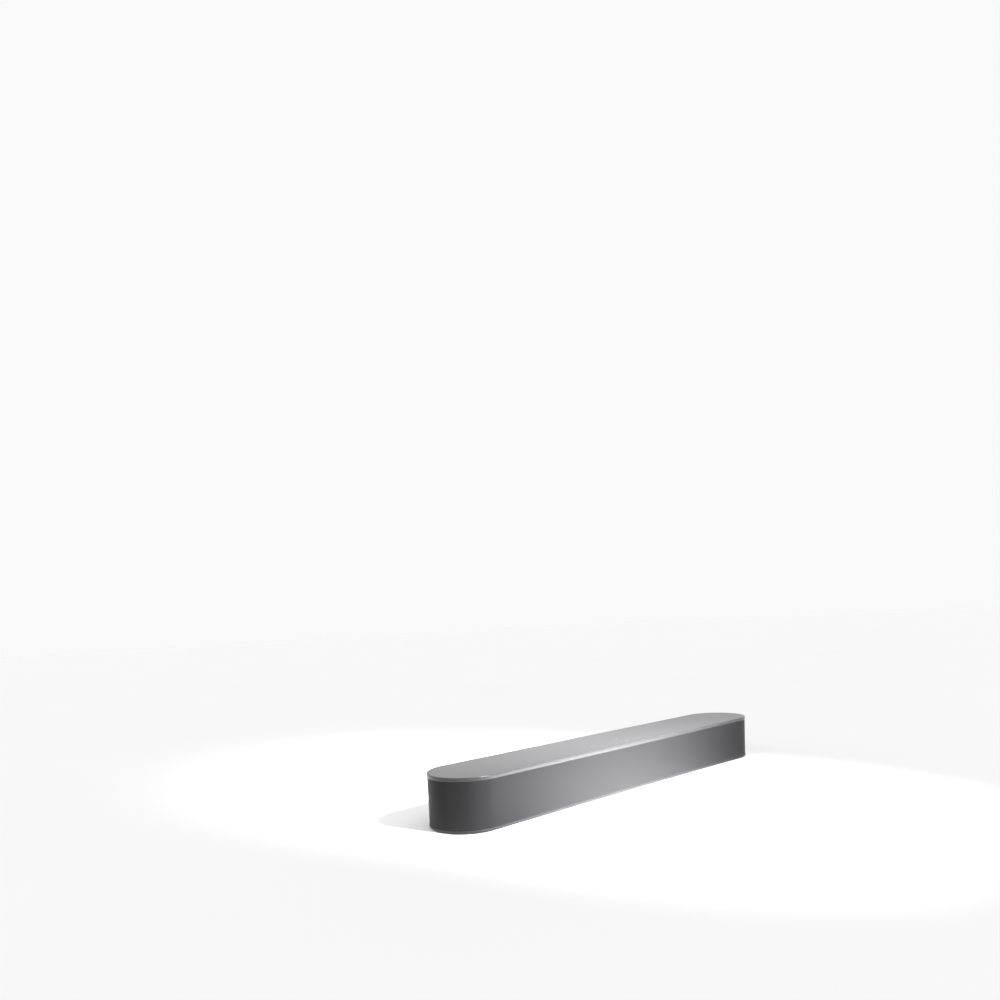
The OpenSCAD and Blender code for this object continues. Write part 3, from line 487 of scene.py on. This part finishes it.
def pressed_paper(name, color):
    look = Look(name, color, 0.85, specular=0.2)
    fibres = look.noise(0.9 * MM, 6, (1.0, 1.0, 0.35))
    look.color(look.mix(fibres, shade(color, 0.6), shade(color, 1.6)))
    look.roughness(look.range(fibres, 0.75, 0.95))
    look.bump(fibres, 0.06 * MM, 0.7)
    return look


def metal(name, color, roughness, brushed=(1.0, 1.0, 1.0), scratch=0.6 * MM):
    look = Look(name, color, roughness, metallic=1.0)
    lines = look.noise(scratch, 4, brushed)
    look.color(look.mix(lines, shade(color, 0.94), shade(color, 1.04)))
    look.roughness(look.range(lines, roughness - 0.04, roughness + 0.06, 0.3, 0.7))
    look.bump(lines, 0.002 * MM, 0.3)
    return look


def circuit(name, color):
    """Solder resist over copper: straight tracks show as slightly lighter, raised bands."""
    look = Look(name, color, 0.35, specular=0.5)
    brick = look.node("ShaderNodeTexBrick")
    brick.inputs["Scale"].default_value = 1.0 / (4 * MM)
    brick.inputs["Mortar Size"].default_value = 0.06
    look.link(look.coordinates, brick.inputs["Vector"])
    tracks = brick.outputs["Fac"]
    look.color(look.mix(tracks, color, shade(color, 1.9)))
    look.roughness(look.range(look.noise(4 * MM), 0.28, 0.42))
    look.bump(tracks, 0.04 * MM, 0.6)
    return look


def film(name, color):
    look = Look(name, color, 0.3, specular=0.5)
    wave = look.node("ShaderNodeTexWave", bands_direction="X")
    wave.inputs["Scale"].default_value = 1.0 / (6 * MM)
    look.link(look.coordinates, wave.inputs["Vector"])
    look.color(look.mix(wave.outputs["Fac"], shade(color, 0.7), shade(color, 1.2)))
    look.roughness(look.range(look.noise(3 * MM), 0.24, 0.4))
    look.bump(wave.outputs["Fac"], 0.02 * MM, 0.5)
    return look


def clear_pipe(name, color):
    look = Look(name, color, 0.25)
    look.shader.inputs["Transmission Weight"].default_value = 0.6
    look.color(look.mix(look.noise(1.5 * MM), shade(color, 0.85), shade(color, 1.0)))
    look.roughness(look.range(look.noise(1 * MM), 0.2, 0.35))
    return look


# Marks over the touch controls
MARK_Y = -30 * MM
MARK_PITCH = 24 * MM
MARK_SIZE = 4.6 * MM
MARK_LINE = 0.35 * MM

HOLE_PITCH = racetrack(GRILLE_R)[1] / round(racetrack(GRILLE_R)[1] / (0.95 * MM))
HOLE_D = 0.56 * MM
SOLID_BAND = 1.6 * MM

LOOKS = {
    "top_plastic": lambda n: top_plastic(n, (0.036, 0.036, 0.038)),
    "base_plastic": lambda n: moulded(n, (0.024, 0.024, 0.026), 0.45, 0.5 * MM, 0.015 * MM),
    "grille_plastic": lambda n: perforated(n, (0.019, 0.019, 0.0205), 0.44, HOLE_PITCH, HOLE_D,
                                           GRILLE_BOTTOM + SOLID_BAND, GRILLE_TOP - SOLID_BAND),
    "dust_cloth": lambda n: woven(n, (0.012, 0.012, 0.012), 0.5 * MM),
    "enclosure_plastic": lambda n: moulded(n, (0.022, 0.022, 0.024), 0.6, 0.7 * MM, 0.03 * MM),
    "gasket_foam": lambda n: rubber(n, (0.018, 0.018, 0.018)),
    "panel_plastic": lambda n: moulded(n, (0.02, 0.02, 0.021), 0.55, 0.6 * MM, 0.03 * MM),
    "foot_rubber": lambda n: rubber(n, (0.02, 0.02, 0.02)),
    "insert_brass": lambda n: metal(n, (0.62, 0.44, 0.18), 0.3),
    "screw_steel": lambda n: metal(n, (0.35, 0.35, 0.36), 0.35),
    "circuit_board": lambda n: circuit(n, (0.012, 0.085, 0.035)),
    "board_parts": lambda n: moulded(n, (0.02, 0.02, 0.022), 0.4, 0.4 * MM, 0.02 * MM),
    "heat_sink_aluminium": lambda n: metal(n, (0.62, 0.63, 0.65), 0.38, (1.0, 0.05, 1.0)),
    "ribbon_film": lambda n: film(n, (0.5, 0.22, 0.04)),
    "antenna_board": lambda n: circuit(n, (0.02, 0.12, 0.05)),
    "lead_sheath": lambda n: rubber(n, (0.28, 0.025, 0.02)),
    "socket_plastic": lambda n: moulded(n, (0.012, 0.012, 0.013), 0.45, 0.5 * MM, 0.02 * MM),
    "pin_nickel": lambda n: metal(n, (0.66, 0.65, 0.62), 0.18),
    "socket_shell": lambda n: metal(n, (0.56, 0.56, 0.57), 0.28, (1.0, 0.08, 1.0)),
    "contact_gold": lambda n: metal(n, (0.83, 0.6, 0.22), 0.22),
    "button_plastic": lambda n: moulded(n, (0.06, 0.06, 0.062), 0.4, 0.3 * MM, 0.01 * MM),
    "light_pipe": lambda n: clear_pipe(n, (0.75, 0.76, 0.76)),
    "basket_plastic": lambda n: moulded(n, (0.025, 0.025, 0.027), 0.5, 0.6 * MM, 0.03 * MM),
    "magnet_steel": lambda n: metal(n, (0.32, 0.32, 0.33), 0.42),
    "surround_rubber": lambda n: rubber(n, (0.012, 0.012, 0.012)),
    "spider_cloth": lambda n: woven(n, (0.42, 0.28, 0.1), 0.7 * MM),
    "dome_silk": lambda n: woven(n, (0.09, 0.09, 0.095), 0.25 * MM),
    "cone_paper": lambda n: pressed_paper(n, (0.022, 0.022, 0.023)),
    "passive_plate": lambda n: moulded(n, (0.018, 0.018, 0.019), 0.42, 0.5 * MM, 0.02 * MM),
}
made_looks = {}


def dress(obj, slot):
    """Gives an object its slot's material."""
    if slot not in made_looks:
        made_looks[slot] = LOOKS[slot](slot).material
    obj.data.materials.clear()
    obj.data.materials.append(made_looks[slot])


# ---------- pieces ----------

def port_cutter():
    """Cuts the connector opening through the back of a shell."""
    outline = rounded_rectangle(2 * PORT_HALF_W, 2 * PORT_HALF_H, PORT_CORNER)
    return loft("port_cutter", [upright(outline, y, z=PORT_Z) for y in (RIM_R / 2, RIM_R + MM)])


def build_grille():
    edge = 0.25 * MM
    wall = 1.2 * MM
    reveal = 0.6 * MM
    inner = GRILLE_R - wall
    neck = GRILLE_R - reveal
    low, high = GRILLE_BOTTOM, GRILLE_TOP
    section = [(inner, low), (neck, low), (neck, low + reveal)]
    section += arc((GRILLE_R - edge, low + reveal + edge), edge, -90, 0, 4)
    section += [(GRILLE_R, low + SOLID_BAND), (GRILLE_R, high - SOLID_BAND)]
    section += arc((GRILLE_R - edge, high - reveal - edge), edge, 0, 90, 4)
    section += [(neck, high - reveal), (neck, high), (inner, high)]
    shell = sweep("grille_shell", section, True)
    cut(shell, [port_cutter()])
    place(shell, ROOT, "grille")


def build_dust_cloth():
    inner = CLOTH_R - CLOTH_T
    section = [(inner, GRILLE_BOTTOM), (CLOTH_R, GRILLE_BOTTOM), (CLOTH_R, GRILLE_TOP), (inner, GRILLE_TOP)]
    cloth = sweep("dust_cloth_ring", section, True, 48)
    cut(cloth, [port_cutter()])
    place(cloth, ROOT, "dust_cloth")


def screw_places():
    """The six long screws: two behind the front baffle and four along the back."""
    return [(side * x, y) for side in (-1, 1) for x, y in zip(SCREW_X, SCREW_Y)]


def build_top_cover():
    edge = 0.9 * MM
    foot = 0.3 * MM
    boss_r = 3.5 * MM
    thread_l = 4.6 * MM
    boss_low = SCREWS_TOP - thread_l
    pilot = MM
    section = [(LIP_IN - MM, PLATE_UNDER), (LIP_IN, PLATE_UNDER), (LIP_IN, GRILLE_TOP - LIP_H),
               (LIP_R, GRILLE_TOP - LIP_H), (LIP_R, GRILLE_TOP), (RIM_R - foot, GRILLE_TOP)]
    section += arc((RIM_R - foot, GRILLE_TOP + foot), foot, -90, 0, 3)[1:]
    section += arc((RIM_R - edge, BAR_TOP - edge), edge, 0, 90, 8)
    section += [(RIM_R - edge - FLAT_INSET, BAR_TOP)]
    cover = sweep("top_cover_shell", section)
    bosses = [moved(turned("boss", [(boss_r, boss_low), (boss_r, PLATE_UNDER + pilot)]), x, y, 0)
              for x, y in screw_places()]
    boolean(cover, bosses, "UNION")
    bores = [moved(turned("bore", [(SCREW_R, boss_low - MM), (SCREW_R, PLATE_UNDER + pilot)], 24), x, y, 0)
             for x, y in screw_places()]
    flare = 0.15 * MM
    hole = [(MIC_R, PLATE_UNDER - MM), (MIC_R, BAR_TOP - flare),
            (MIC_R + flare, BAR_TOP), (MIC_R + flare, BAR_TOP + MM)]
    bores += [moved(turned("mic", hole, 24), sx * MIC_X, sy * MIC_Y, 0) for sx in (-1, 1) for sy in (-1, 1)]
    pipe_r = (PIPE_HI[0] - PIPE_LO[0]) / 2
    pipe_y = (PIPE_HI[1] + PIPE_LO[1]) / 2
    pipe_hole = [(pipe_r, PLATE_UNDER - MM), (pipe_r, BAR_TOP + MM)]
    bores += [moved(turned("pipe", pipe_hole, 24), 0, pipe_y, 0)]
    cut(cover, bores)
    place(cover, ROOT, "top_cover")


def build_base_cover():
    edge = 1.2 * MM
    rim_edge = 0.3 * MM
    inside = BASE_Z + PLATE_T
    section = [(RIM_R - edge - FLAT_INSET, BASE_Z)]
    section += arc((RIM_R - edge, BASE_Z + edge), edge, -90, 0, 8)
    section += arc((RIM_R - rim_edge, GRILLE_BOTTOM - rim_edge), rim_edge, 0, 90, 3)
    section += [(LIP_R, GRILLE_BOTTOM), (LIP_R, GRILLE_BOTTOM + LIP_H), (LIP_IN, GRILLE_BOTTOM + LIP_H),
                (LIP_IN, inside), (LIP_IN - MM, inside)]
    cover = sweep("base_cover_shell", section)
    clearance = 0.2 * MM
    bore = [(SCREW_HEAD_R, BASE_Z - MM), (SCREW_HEAD_R, BASE_Z), (SCREW_R + clearance, BASE_Z + SCREW_HEAD_H),
            (SCREW_R + clearance, inside + MM)]
    cutters = [moved(turned("bore", bore), x, y, 0) for x, y in screw_places()]
    lead_in = 0.3 * MM
    insert = [(INSERT_R + lead_in, BASE_Z - MM), (INSERT_R + lead_in, BASE_Z), (INSERT_R, BASE_Z + lead_in),
              (INSERT_R, inside + MM)]
    cutters += [moved(turned("insert_bore", insert), x, y, 0) for x, y in INSERTS_AT]
    recess = stadium(FOOT_L + 2 * FOOT_FIT, FOOT_W + 2 * FOOT_FIT)
    for x, y in feet_places():
        cutters.append(loft("recess", [level(recess, BASE_Z - MM, x, y), level(recess, FEET_HI[2], x, y)]))
    cut(cover, cutters)
    place(cover, ROOT, "base_cover")


def feet_places():
    x = FEET_HI[0] - FOOT_L / 2
    y = FEET_HI[1] - FOOT_W / 2
    return [(sx * x, sy * y) for sx in (-1, 1) for sy in (-1, 1)]


def build_feet():
    """Rubber pads with a rounded edge and a groove that follows their outline."""
    edge = 0.4 * MM
    groove = 0.35 * MM
    groove_out, groove_in, groove_side = 1.5 * MM, 2.3 * MM, 0.1 * MM
    profile = [(0, FEET_HI[2])] + arc((edge, edge), edge, 180, 270, 4)
    profile += [(groove_out, 0), (groove_out + groove_side, groove)]
    profile += [(groove_in - groove_side, groove), (groove_in, 0)]
    pads = []
    for x, y in feet_places():
        loops = [level(stadium(FOOT_L - 2 * inset, FOOT_W - 2 * inset), height, x, y)
                 for inset, height in profile]
        pads.append(loft("pad", loops))
    place(join("foot_pads", pads), ROOT, "feet")


def build_cover_screws():
    """Countersunk screws with a hexagonal socket."""
    tip = 0.3 * MM
    brim = 0.12 * MM
    socket_r = 1.15 * MM
    socket_depth = 1.1 * MM
    drill_r, drill_depth = 0.2 * MM, 0.4 * MM
    top = SCREWS_TOP
    profile = [(SCREW_HEAD_R - brim, BASE_Z), (SCREW_HEAD_R - brim / 4, BASE_Z + brim),
               (SCREW_R, BASE_Z + SCREW_HEAD_H), (SCREW_R, top - tip), (SCREW_R - tip, top)]
    screws = []
    for x, y in screw_places():
        screw = turned("screw", profile)
        flare = 0.12 * MM
        hexagon = [(socket_r + flare, BASE_Z - MM), (socket_r + flare, BASE_Z), (socket_r, BASE_Z + flare),
                   (socket_r, BASE_Z + socket_depth), (drill_r, BASE_Z + socket_depth + drill_depth)]
        cut(screw, [turned("socket", hexagon, 6)])
        screws.append(moved(screw, x, y, 0))
    place(join("cover_screw_set", screws), ROOT, "cover_screws")


def build_threaded_inserts():
    """Brass inserts with a helical thread in their bore."""
    low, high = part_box("threaded_inserts")
    height = high[2] - low[2]
    pitch = 0.7 * MM
    depth = 0.38 * MM
    edge = 0.25 * MM
    fade_l = 0.6 * MM
    relief = 0.2 * MM
    per_pitch = 6
    steps = 36
    rows = round(height / pitch * per_pitch)
    inserts = []
    for x, y in INSERTS_AT:
        loops = []
        for k in range(rows + 1):
            z = k * height / rows
            fade = min(1.0, z / fade_l, (height - z) / fade_l)
            loop = []
            for i in range(steps):
                ridge = 1 - abs(2 * ((z / pitch - i / steps) % 1.0) - 1)
                reach = INSERT_BORE_R + relief * (1 - fade) - depth * fade * ridge
                angle = 2 * math.pi * i / steps
                loop.append((x + reach * math.cos(angle), y + reach * math.sin(angle), low[2] + z))
            loops.append(loop)
        for radius, z in ((INSERT_R - edge, high[2]), (INSERT_R, high[2] - edge),
                          (INSERT_R, low[2] + edge), (INSERT_R - edge, low[2])):
            loops.append(level(circle(radius, steps), z, x, y))
        inserts.append(loft("insert", loops, True))
    place(join("thread_inserts", inserts), ROOT, "threaded_inserts")


def build_connector_panel():
    """The bay: a deep tub with rounded edges, on a flange behind the enclosure's wall."""
    rim = 0.35 * MM
    fillet = 0.8 * MM
    back = GRILLE_R
    width = 2 * (PORT_HALF_W - PORT_FIT)
    height = 2 * (PORT_HALF_H - PORT_FIT)

    def ring(inset, y):
        outline = rounded_rectangle(width - 2 * inset, height - 2 * inset, PORT_CORNER - inset)
        return upright(outline, y, z=PORT_Z)

    def flange(y):
        outline = rounded_rectangle(2 * PANEL_HI[0], PANEL_HI[2] - PANEL_LO[2], PORT_CORNER)
        return upright(outline, y, z=(PANEL_HI[2] + PANEL_LO[2]) / 2)

    loops = [ring(0, PANEL_LO[1]), ring(0, BOX_R), flange(BOX_R), flange(BOX_R + PORT_FLANGE_T),
             ring(0, BOX_R + PORT_FLANGE_T)]
    loops += [ring(inset, y) for inset, y in arc((rim, back - rim), rim, 180, 90, 4)]
    loops += [ring(inset, y) for inset, y in arc((PORT_WALL - rim, back - rim), rim, 90, 0, 4)]
    corner = (PORT_WALL + fillet, PORT_FLOOR_Y + fillet)
    loops += [ring(inset, y) for inset, y in arc(corner, fillet, 180, 270, 4)]
    loops += [ring(PORT_WALL + 2 * fillet, PORT_FLOOR_Y)]
    panel = loft("connector_bay_panel", loops)
    cutters = []
    for node in ("power_inlet", "video_socket", "network_socket"):
        low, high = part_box(node)
        corners = (low[0], PANEL_LO[1] - MM, low[2]), (high[0], PORT_FLOOR_Y + MM, high[2])
        cutters.append(boxed("socket_hole", *corners))
    hole_r = 4.2 * MM
    flare = 0.4 * MM
    hole = [(hole_r, -PORT_FLOOR_T - MM), (hole_r, -flare), (hole_r + flare, 0), (hole_r + flare, MM)]
    cutters.append(moved(turned("button_hole", hole), BUTTON_X, PORT_FLOOR_Y, PORT_Z, True))
    screw_x = PORT_HALF_W + PORT_FLANGE / 2
    screw_z = PORT_HALF_H - PORT_CORNER
    bore_r = 1.15 * MM
    bore = [(bore_r, BOX_R - MM), (bore_r, BOX_R + 3 * MM)]
    for sx in (-1, 1):
        for sz in (-1, 1):
            cutters.append(moved(turned("bore", bore, 24), sx * screw_x, 0, PORT_Z + sz * screw_z, True))
    cut(panel, cutters)
    place(panel, ROOT, "connector_panel")


def build_power_inlet():
    """A two-pin inlet: a block with a flared, round-ended recess."""
    low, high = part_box("power_inlet")
    x, z = (low[0] + high[0]) / 2, (low[2] + high[2]) / 2
    width, height, depth = 15.6 * MM, 8.4 * MM, 12 * MM
    block = boxed("inlet_block", low, high)
    cut(block, [loft("recess", [upright(stadium(width + 2 * flare, height + 2 * flare), high[1] + y, x, z)
                                for flare, y in ((0.5 * MM, MM), (0.5 * MM, 0), (0, -0.6 * MM), (0, -depth))])])
    soften(block, 0.15 * MM)
    place(block, ROOT, "power_inlet")
    pin_low, pin_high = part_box("inlet_pins")
    radius = (pin_high[2] - pin_low[2]) / 2
    length = pin_high[1] - pin_low[1]
    profile = [(radius, 0)] + arc((0, length - radius), radius, 0, 80, 6)
    pins = [moved(turned("pin", profile, 32), pin_x, pin_low[1], z, True)
            for pin_x in (pin_low[0] + radius, pin_high[0] - radius)]
    place(join("inlet_pin_pair", pins), ROOT, "inlet_pins")


def notched(width, height, notch):
    """A rectangle whose lower corners are cut off."""
    w, h = width / 2, height / 2
    return [(-w, h), (w, h), (w, notch - h), (w - notch, -h), (notch - w, -h), (-w, notch - h)]


def build_video_socket():
    """A folded metal shell with a shaped mouth, and a tongue with contacts on both faces."""
    low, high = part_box("video_socket")
    x, z = (low[0] + high[0]) / 2, (low[2] + high[2]) / 2
    width, height = high[0] - low[0], high[2] - low[2]
    wall = 0.6 * MM
    lead_in = 0.25 * MM
    corner = 0.15 * MM
    notch = 1.9 * MM
    sections = [(width, height, corner, low[1]), (width, height, corner, high[1] - corner),
                (width - 2 * corner, height - 2 * corner, corner, high[1]),
                (width - 2 * wall + 2 * lead_in, height - 2 * wall + 2 * lead_in, notch, high[1]),
                (width - 2 * wall, height - 2 * wall, notch, high[1] - 2 * lead_in),
                (width - 2 * wall, height - 2 * wall, notch, low[1] + wall)]
    shell = loft("video_shell", [upright(notched(w, h, n), y, x, z) for w, h, n, y in sections])
    place(shell, ROOT, "video_socket")
    tongue_low, tongue_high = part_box("video_tongue")
    tongue = boxed("video_socket_tongue", tongue_low, tongue_high)
    soften(tongue, 0.2 * MM)
    place(tongue, ROOT, "video_tongue")
    strips = []
    pitch = 1.05 * MM
    strip_w = 0.5 * MM
    raised = 0.08 * MM
    for k in range(-4, 5):
        for face, z_face in ((1, tongue_high[2]), (-1, tongue_low[2])):
            z_pair = sorted((z_face - face * raised, z_face + face * raised))
            strip = boxed("strip", (x + k * pitch - strip_w / 2, tongue_low[1] + MM, z_pair[0]),
                          (x + k * pitch + strip_w / 2, tongue_high[1] - 0.8 * MM, z_pair[1]))
            strips.append(strip)
    place(join("video_socket_contacts", strips), ROOT, "video_tongue", "contact_gold")


def build_network_socket():
    """A shielded jack: its mouth has a notch for the plug's latch, and eight sprung wires slope inside."""
    low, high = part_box("network_socket")
    x = (low[0] + high[0]) / 2
    hole_w, hole_h, hole_d = 11.8 * MM, 7.6 * MM, 13 * MM
    notch_w, notch_h = 6.2 * MM, 2.6 * MM
    hole_z = low[2] + 3.6 * MM
    block = boxed("jack_shell", low, high)
    mouth = boxed("mouth", (x - hole_w / 2, high[1] - hole_d, hole_z),
                  (x + hole_w / 2, high[1] + MM, hole_z + hole_h))
    notch = boxed("notch", (x - notch_w / 2, high[1] - hole_d, hole_z - notch_h),
                  (x + notch_w / 2, high[1] + MM, hole_z + MM))
    cut(block, [mouth, notch])
    soften(block, 0.18 * MM)
    place(block, ROOT, "network_socket")
    contact_low, contact_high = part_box("network_contacts")
    top = contact_high[2]
    pitch = (contact_high[0] - contact_low[0] - 0.5 * MM) / 7
    half_w, half_t = 0.2 * MM, 0.12 * MM
    # How far each bend is in from the mouth and down from the top, in mm
    bends = ((hole_d / MM, 0.15), (4.2, 0.15), (3.6, 0.35), (3.5, 0.7), (4.0, 1.05), (10, 3.1))
    path = [(high[1] - inward * MM, top - down * MM) for inward, down in bends]
    wires = []
    for k in range(8):
        wire_x = contact_low[0] + 0.25 * MM + k * pitch
        loops = []
        for i, (y, z) in enumerate(path):
            before, after = path[max(i - 1, 0)], path[min(i + 1, len(path) - 1)]
            run = Vector((after[0] - before[0], after[1] - before[1])).normalized() * half_t
            loops.append([(wire_x - half_w, y - run.y, z + run.x), (wire_x + half_w, y - run.y, z + run.x),
                          (wire_x + half_w, y + run.y, z - run.x), (wire_x - half_w, y + run.y, z - run.x)])
        wires.append(loft("wire", loops))
    place(join("jack_wires", wires), ROOT, "network_contacts")


def build_join_button():
    """A push button with a rounded edge and a dished face."""
    radius = 4 * MM
    collar_r = (BUTTON_HI[0] - BUTTON_LO[0]) / 2
    stem_r, stem_l, collar_t = 2 * MM, 3 * MM, 1.2 * MM
    edge = 0.45 * MM
    dish_r, dish = 3.1 * MM, 0.3 * MM
    length = BUTTON_HI[1] - BUTTON_LO[1]
    profile = [(stem_r, 0), (stem_r, stem_l), (collar_r, stem_l), (collar_r, stem_l + collar_t),
               (radius, stem_l + collar_t)]
    profile += arc((radius - edge, length - edge), edge, 0, 90, 5)
    profile += [(dish_r * k / 6, length - dish * (1 - (k / 6) ** 2)) for k in (6, 5, 4, 3, 2, 1)]
    button = moved(turned("join_button_cap", profile), BUTTON_X, BUTTON_LO[1], PORT_Z, True)
    place(button, "join_button_body", "join_button")


# ---------- the floor, the lights and the camera ----------

def build_floor():
    """A pale floor, large enough for every view."""
    bm = bmesh.new()
    bmesh.ops.create_grid(bm, x_segments=8, y_segments=8, size=30)
    floor_gap = 0.05 * MM
    floor = moved(finish_mesh("studio_floor", bm), 0, 0, -floor_gap)
    look = Look("studio_floor", (0.86, 0.86, 0.86), 0.75, specular=0.2)
    look.color(look.mix(look.noise(0.4), (0.85, 0.85, 0.85), (0.87, 0.87, 0.87)))
    floor.data.materials.append(look.material)


def area_light(name, place_at, aim, size, power, spread):
    data = bpy.data.lights.new(name, "AREA")
    data.shape = "RECTANGLE"
    data.size, data.size_y = size
    data.energy = power
    data.spread = math.radians(spread)
    lamp = bpy.data.objects.new(name, data)
    bpy.context.scene.collection.objects.link(lamp)
    lamp.location = place_at
    lamp.rotation_euler = (Vector(aim) - Vector(place_at)).to_track_quat("-Z", "Y").to_euler()


WORLD_STRENGTH = 0.95
SKY_STRENGTH = 0.45
SKY_ANGLE = 80
SOFTBOX_AT = (0.05, -0.82, 0.6)
SOFTBOX_AIM = (-0.03, -0.05, 0.035)
SOFTBOX_SIZE = (0.34, 0.34)
SOFTBOX_POWER = 6.2
SOFTBOX_SPREAD = 30


def build_lights():
    """A white room, a broad light from above, and a softbox low in front of the middle."""
    world = bpy.data.worlds.new("studio")
    world.use_nodes = True
    background = world.node_tree.nodes["Background"]
    background.inputs["Color"].default_value = (1.0, 1.0, 1.0, 1.0)
    background.inputs["Strength"].default_value = WORLD_STRENGTH
    bpy.context.scene.world = world
    sky = bpy.data.lights.new("overhead", "SUN")
    sky.energy = SKY_STRENGTH
    sky.angle = math.radians(SKY_ANGLE)
    bpy.context.scene.collection.objects.link(bpy.data.objects.new("overhead", sky))
    area_light("middle_softbox", SOFTBOX_AT, SOFTBOX_AIM, SOFTBOX_SIZE, SOFTBOX_POWER, SOFTBOX_SPREAD)


# The camera stands to the left in front of the bar and above it, looks slightly down and has a slight roll
CAMERA_AT = (-0.8438, -0.7144, 0.2459)
CAMERA_HEADING = -41.37
CAMERA_PITCH = -6.05
CAMERA_ROLL = 2.97
CAMERA_LENS = 26.89
CAMERA_SHIFT_Y = 0.203


def build_camera():
    data = bpy.data.cameras.new("camera")
    data.lens = CAMERA_LENS
    data.sensor_width = 36.0
    data.shift_y = CAMERA_SHIFT_Y
    data.clip_start = 0.01
    data.clip_end = 100.0
    camera = bpy.data.objects.new("camera", data)
    bpy.context.scene.collection.objects.link(camera)
    heading = Matrix.Rotation(math.radians(CAMERA_HEADING), 4, "Z")
    pitch = Matrix.Rotation(math.radians(90 + CAMERA_PITCH), 4, "X")
    roll = Matrix.Rotation(math.radians(-CAMERA_ROLL), 4, "Z")
    camera.matrix_world = Matrix.Translation(CAMERA_AT) @ heading @ pitch @ roll
    bpy.context.scene.camera = camera


bpy.context.scene.view_settings.view_transform = "Standard"
build_camera()
build_floor()
build_lights()
for node_name, node_object in frame["nodes"].items():
    dress(node_object, SLOT_OF[node_name])
build_grille()
build_dust_cloth()
build_top_cover()
build_base_cover()
build_feet()
build_cover_screws()
build_threaded_inserts()
build_connector_panel()
build_power_inlet()
build_video_socket()
build_network_socket()
build_join_button()
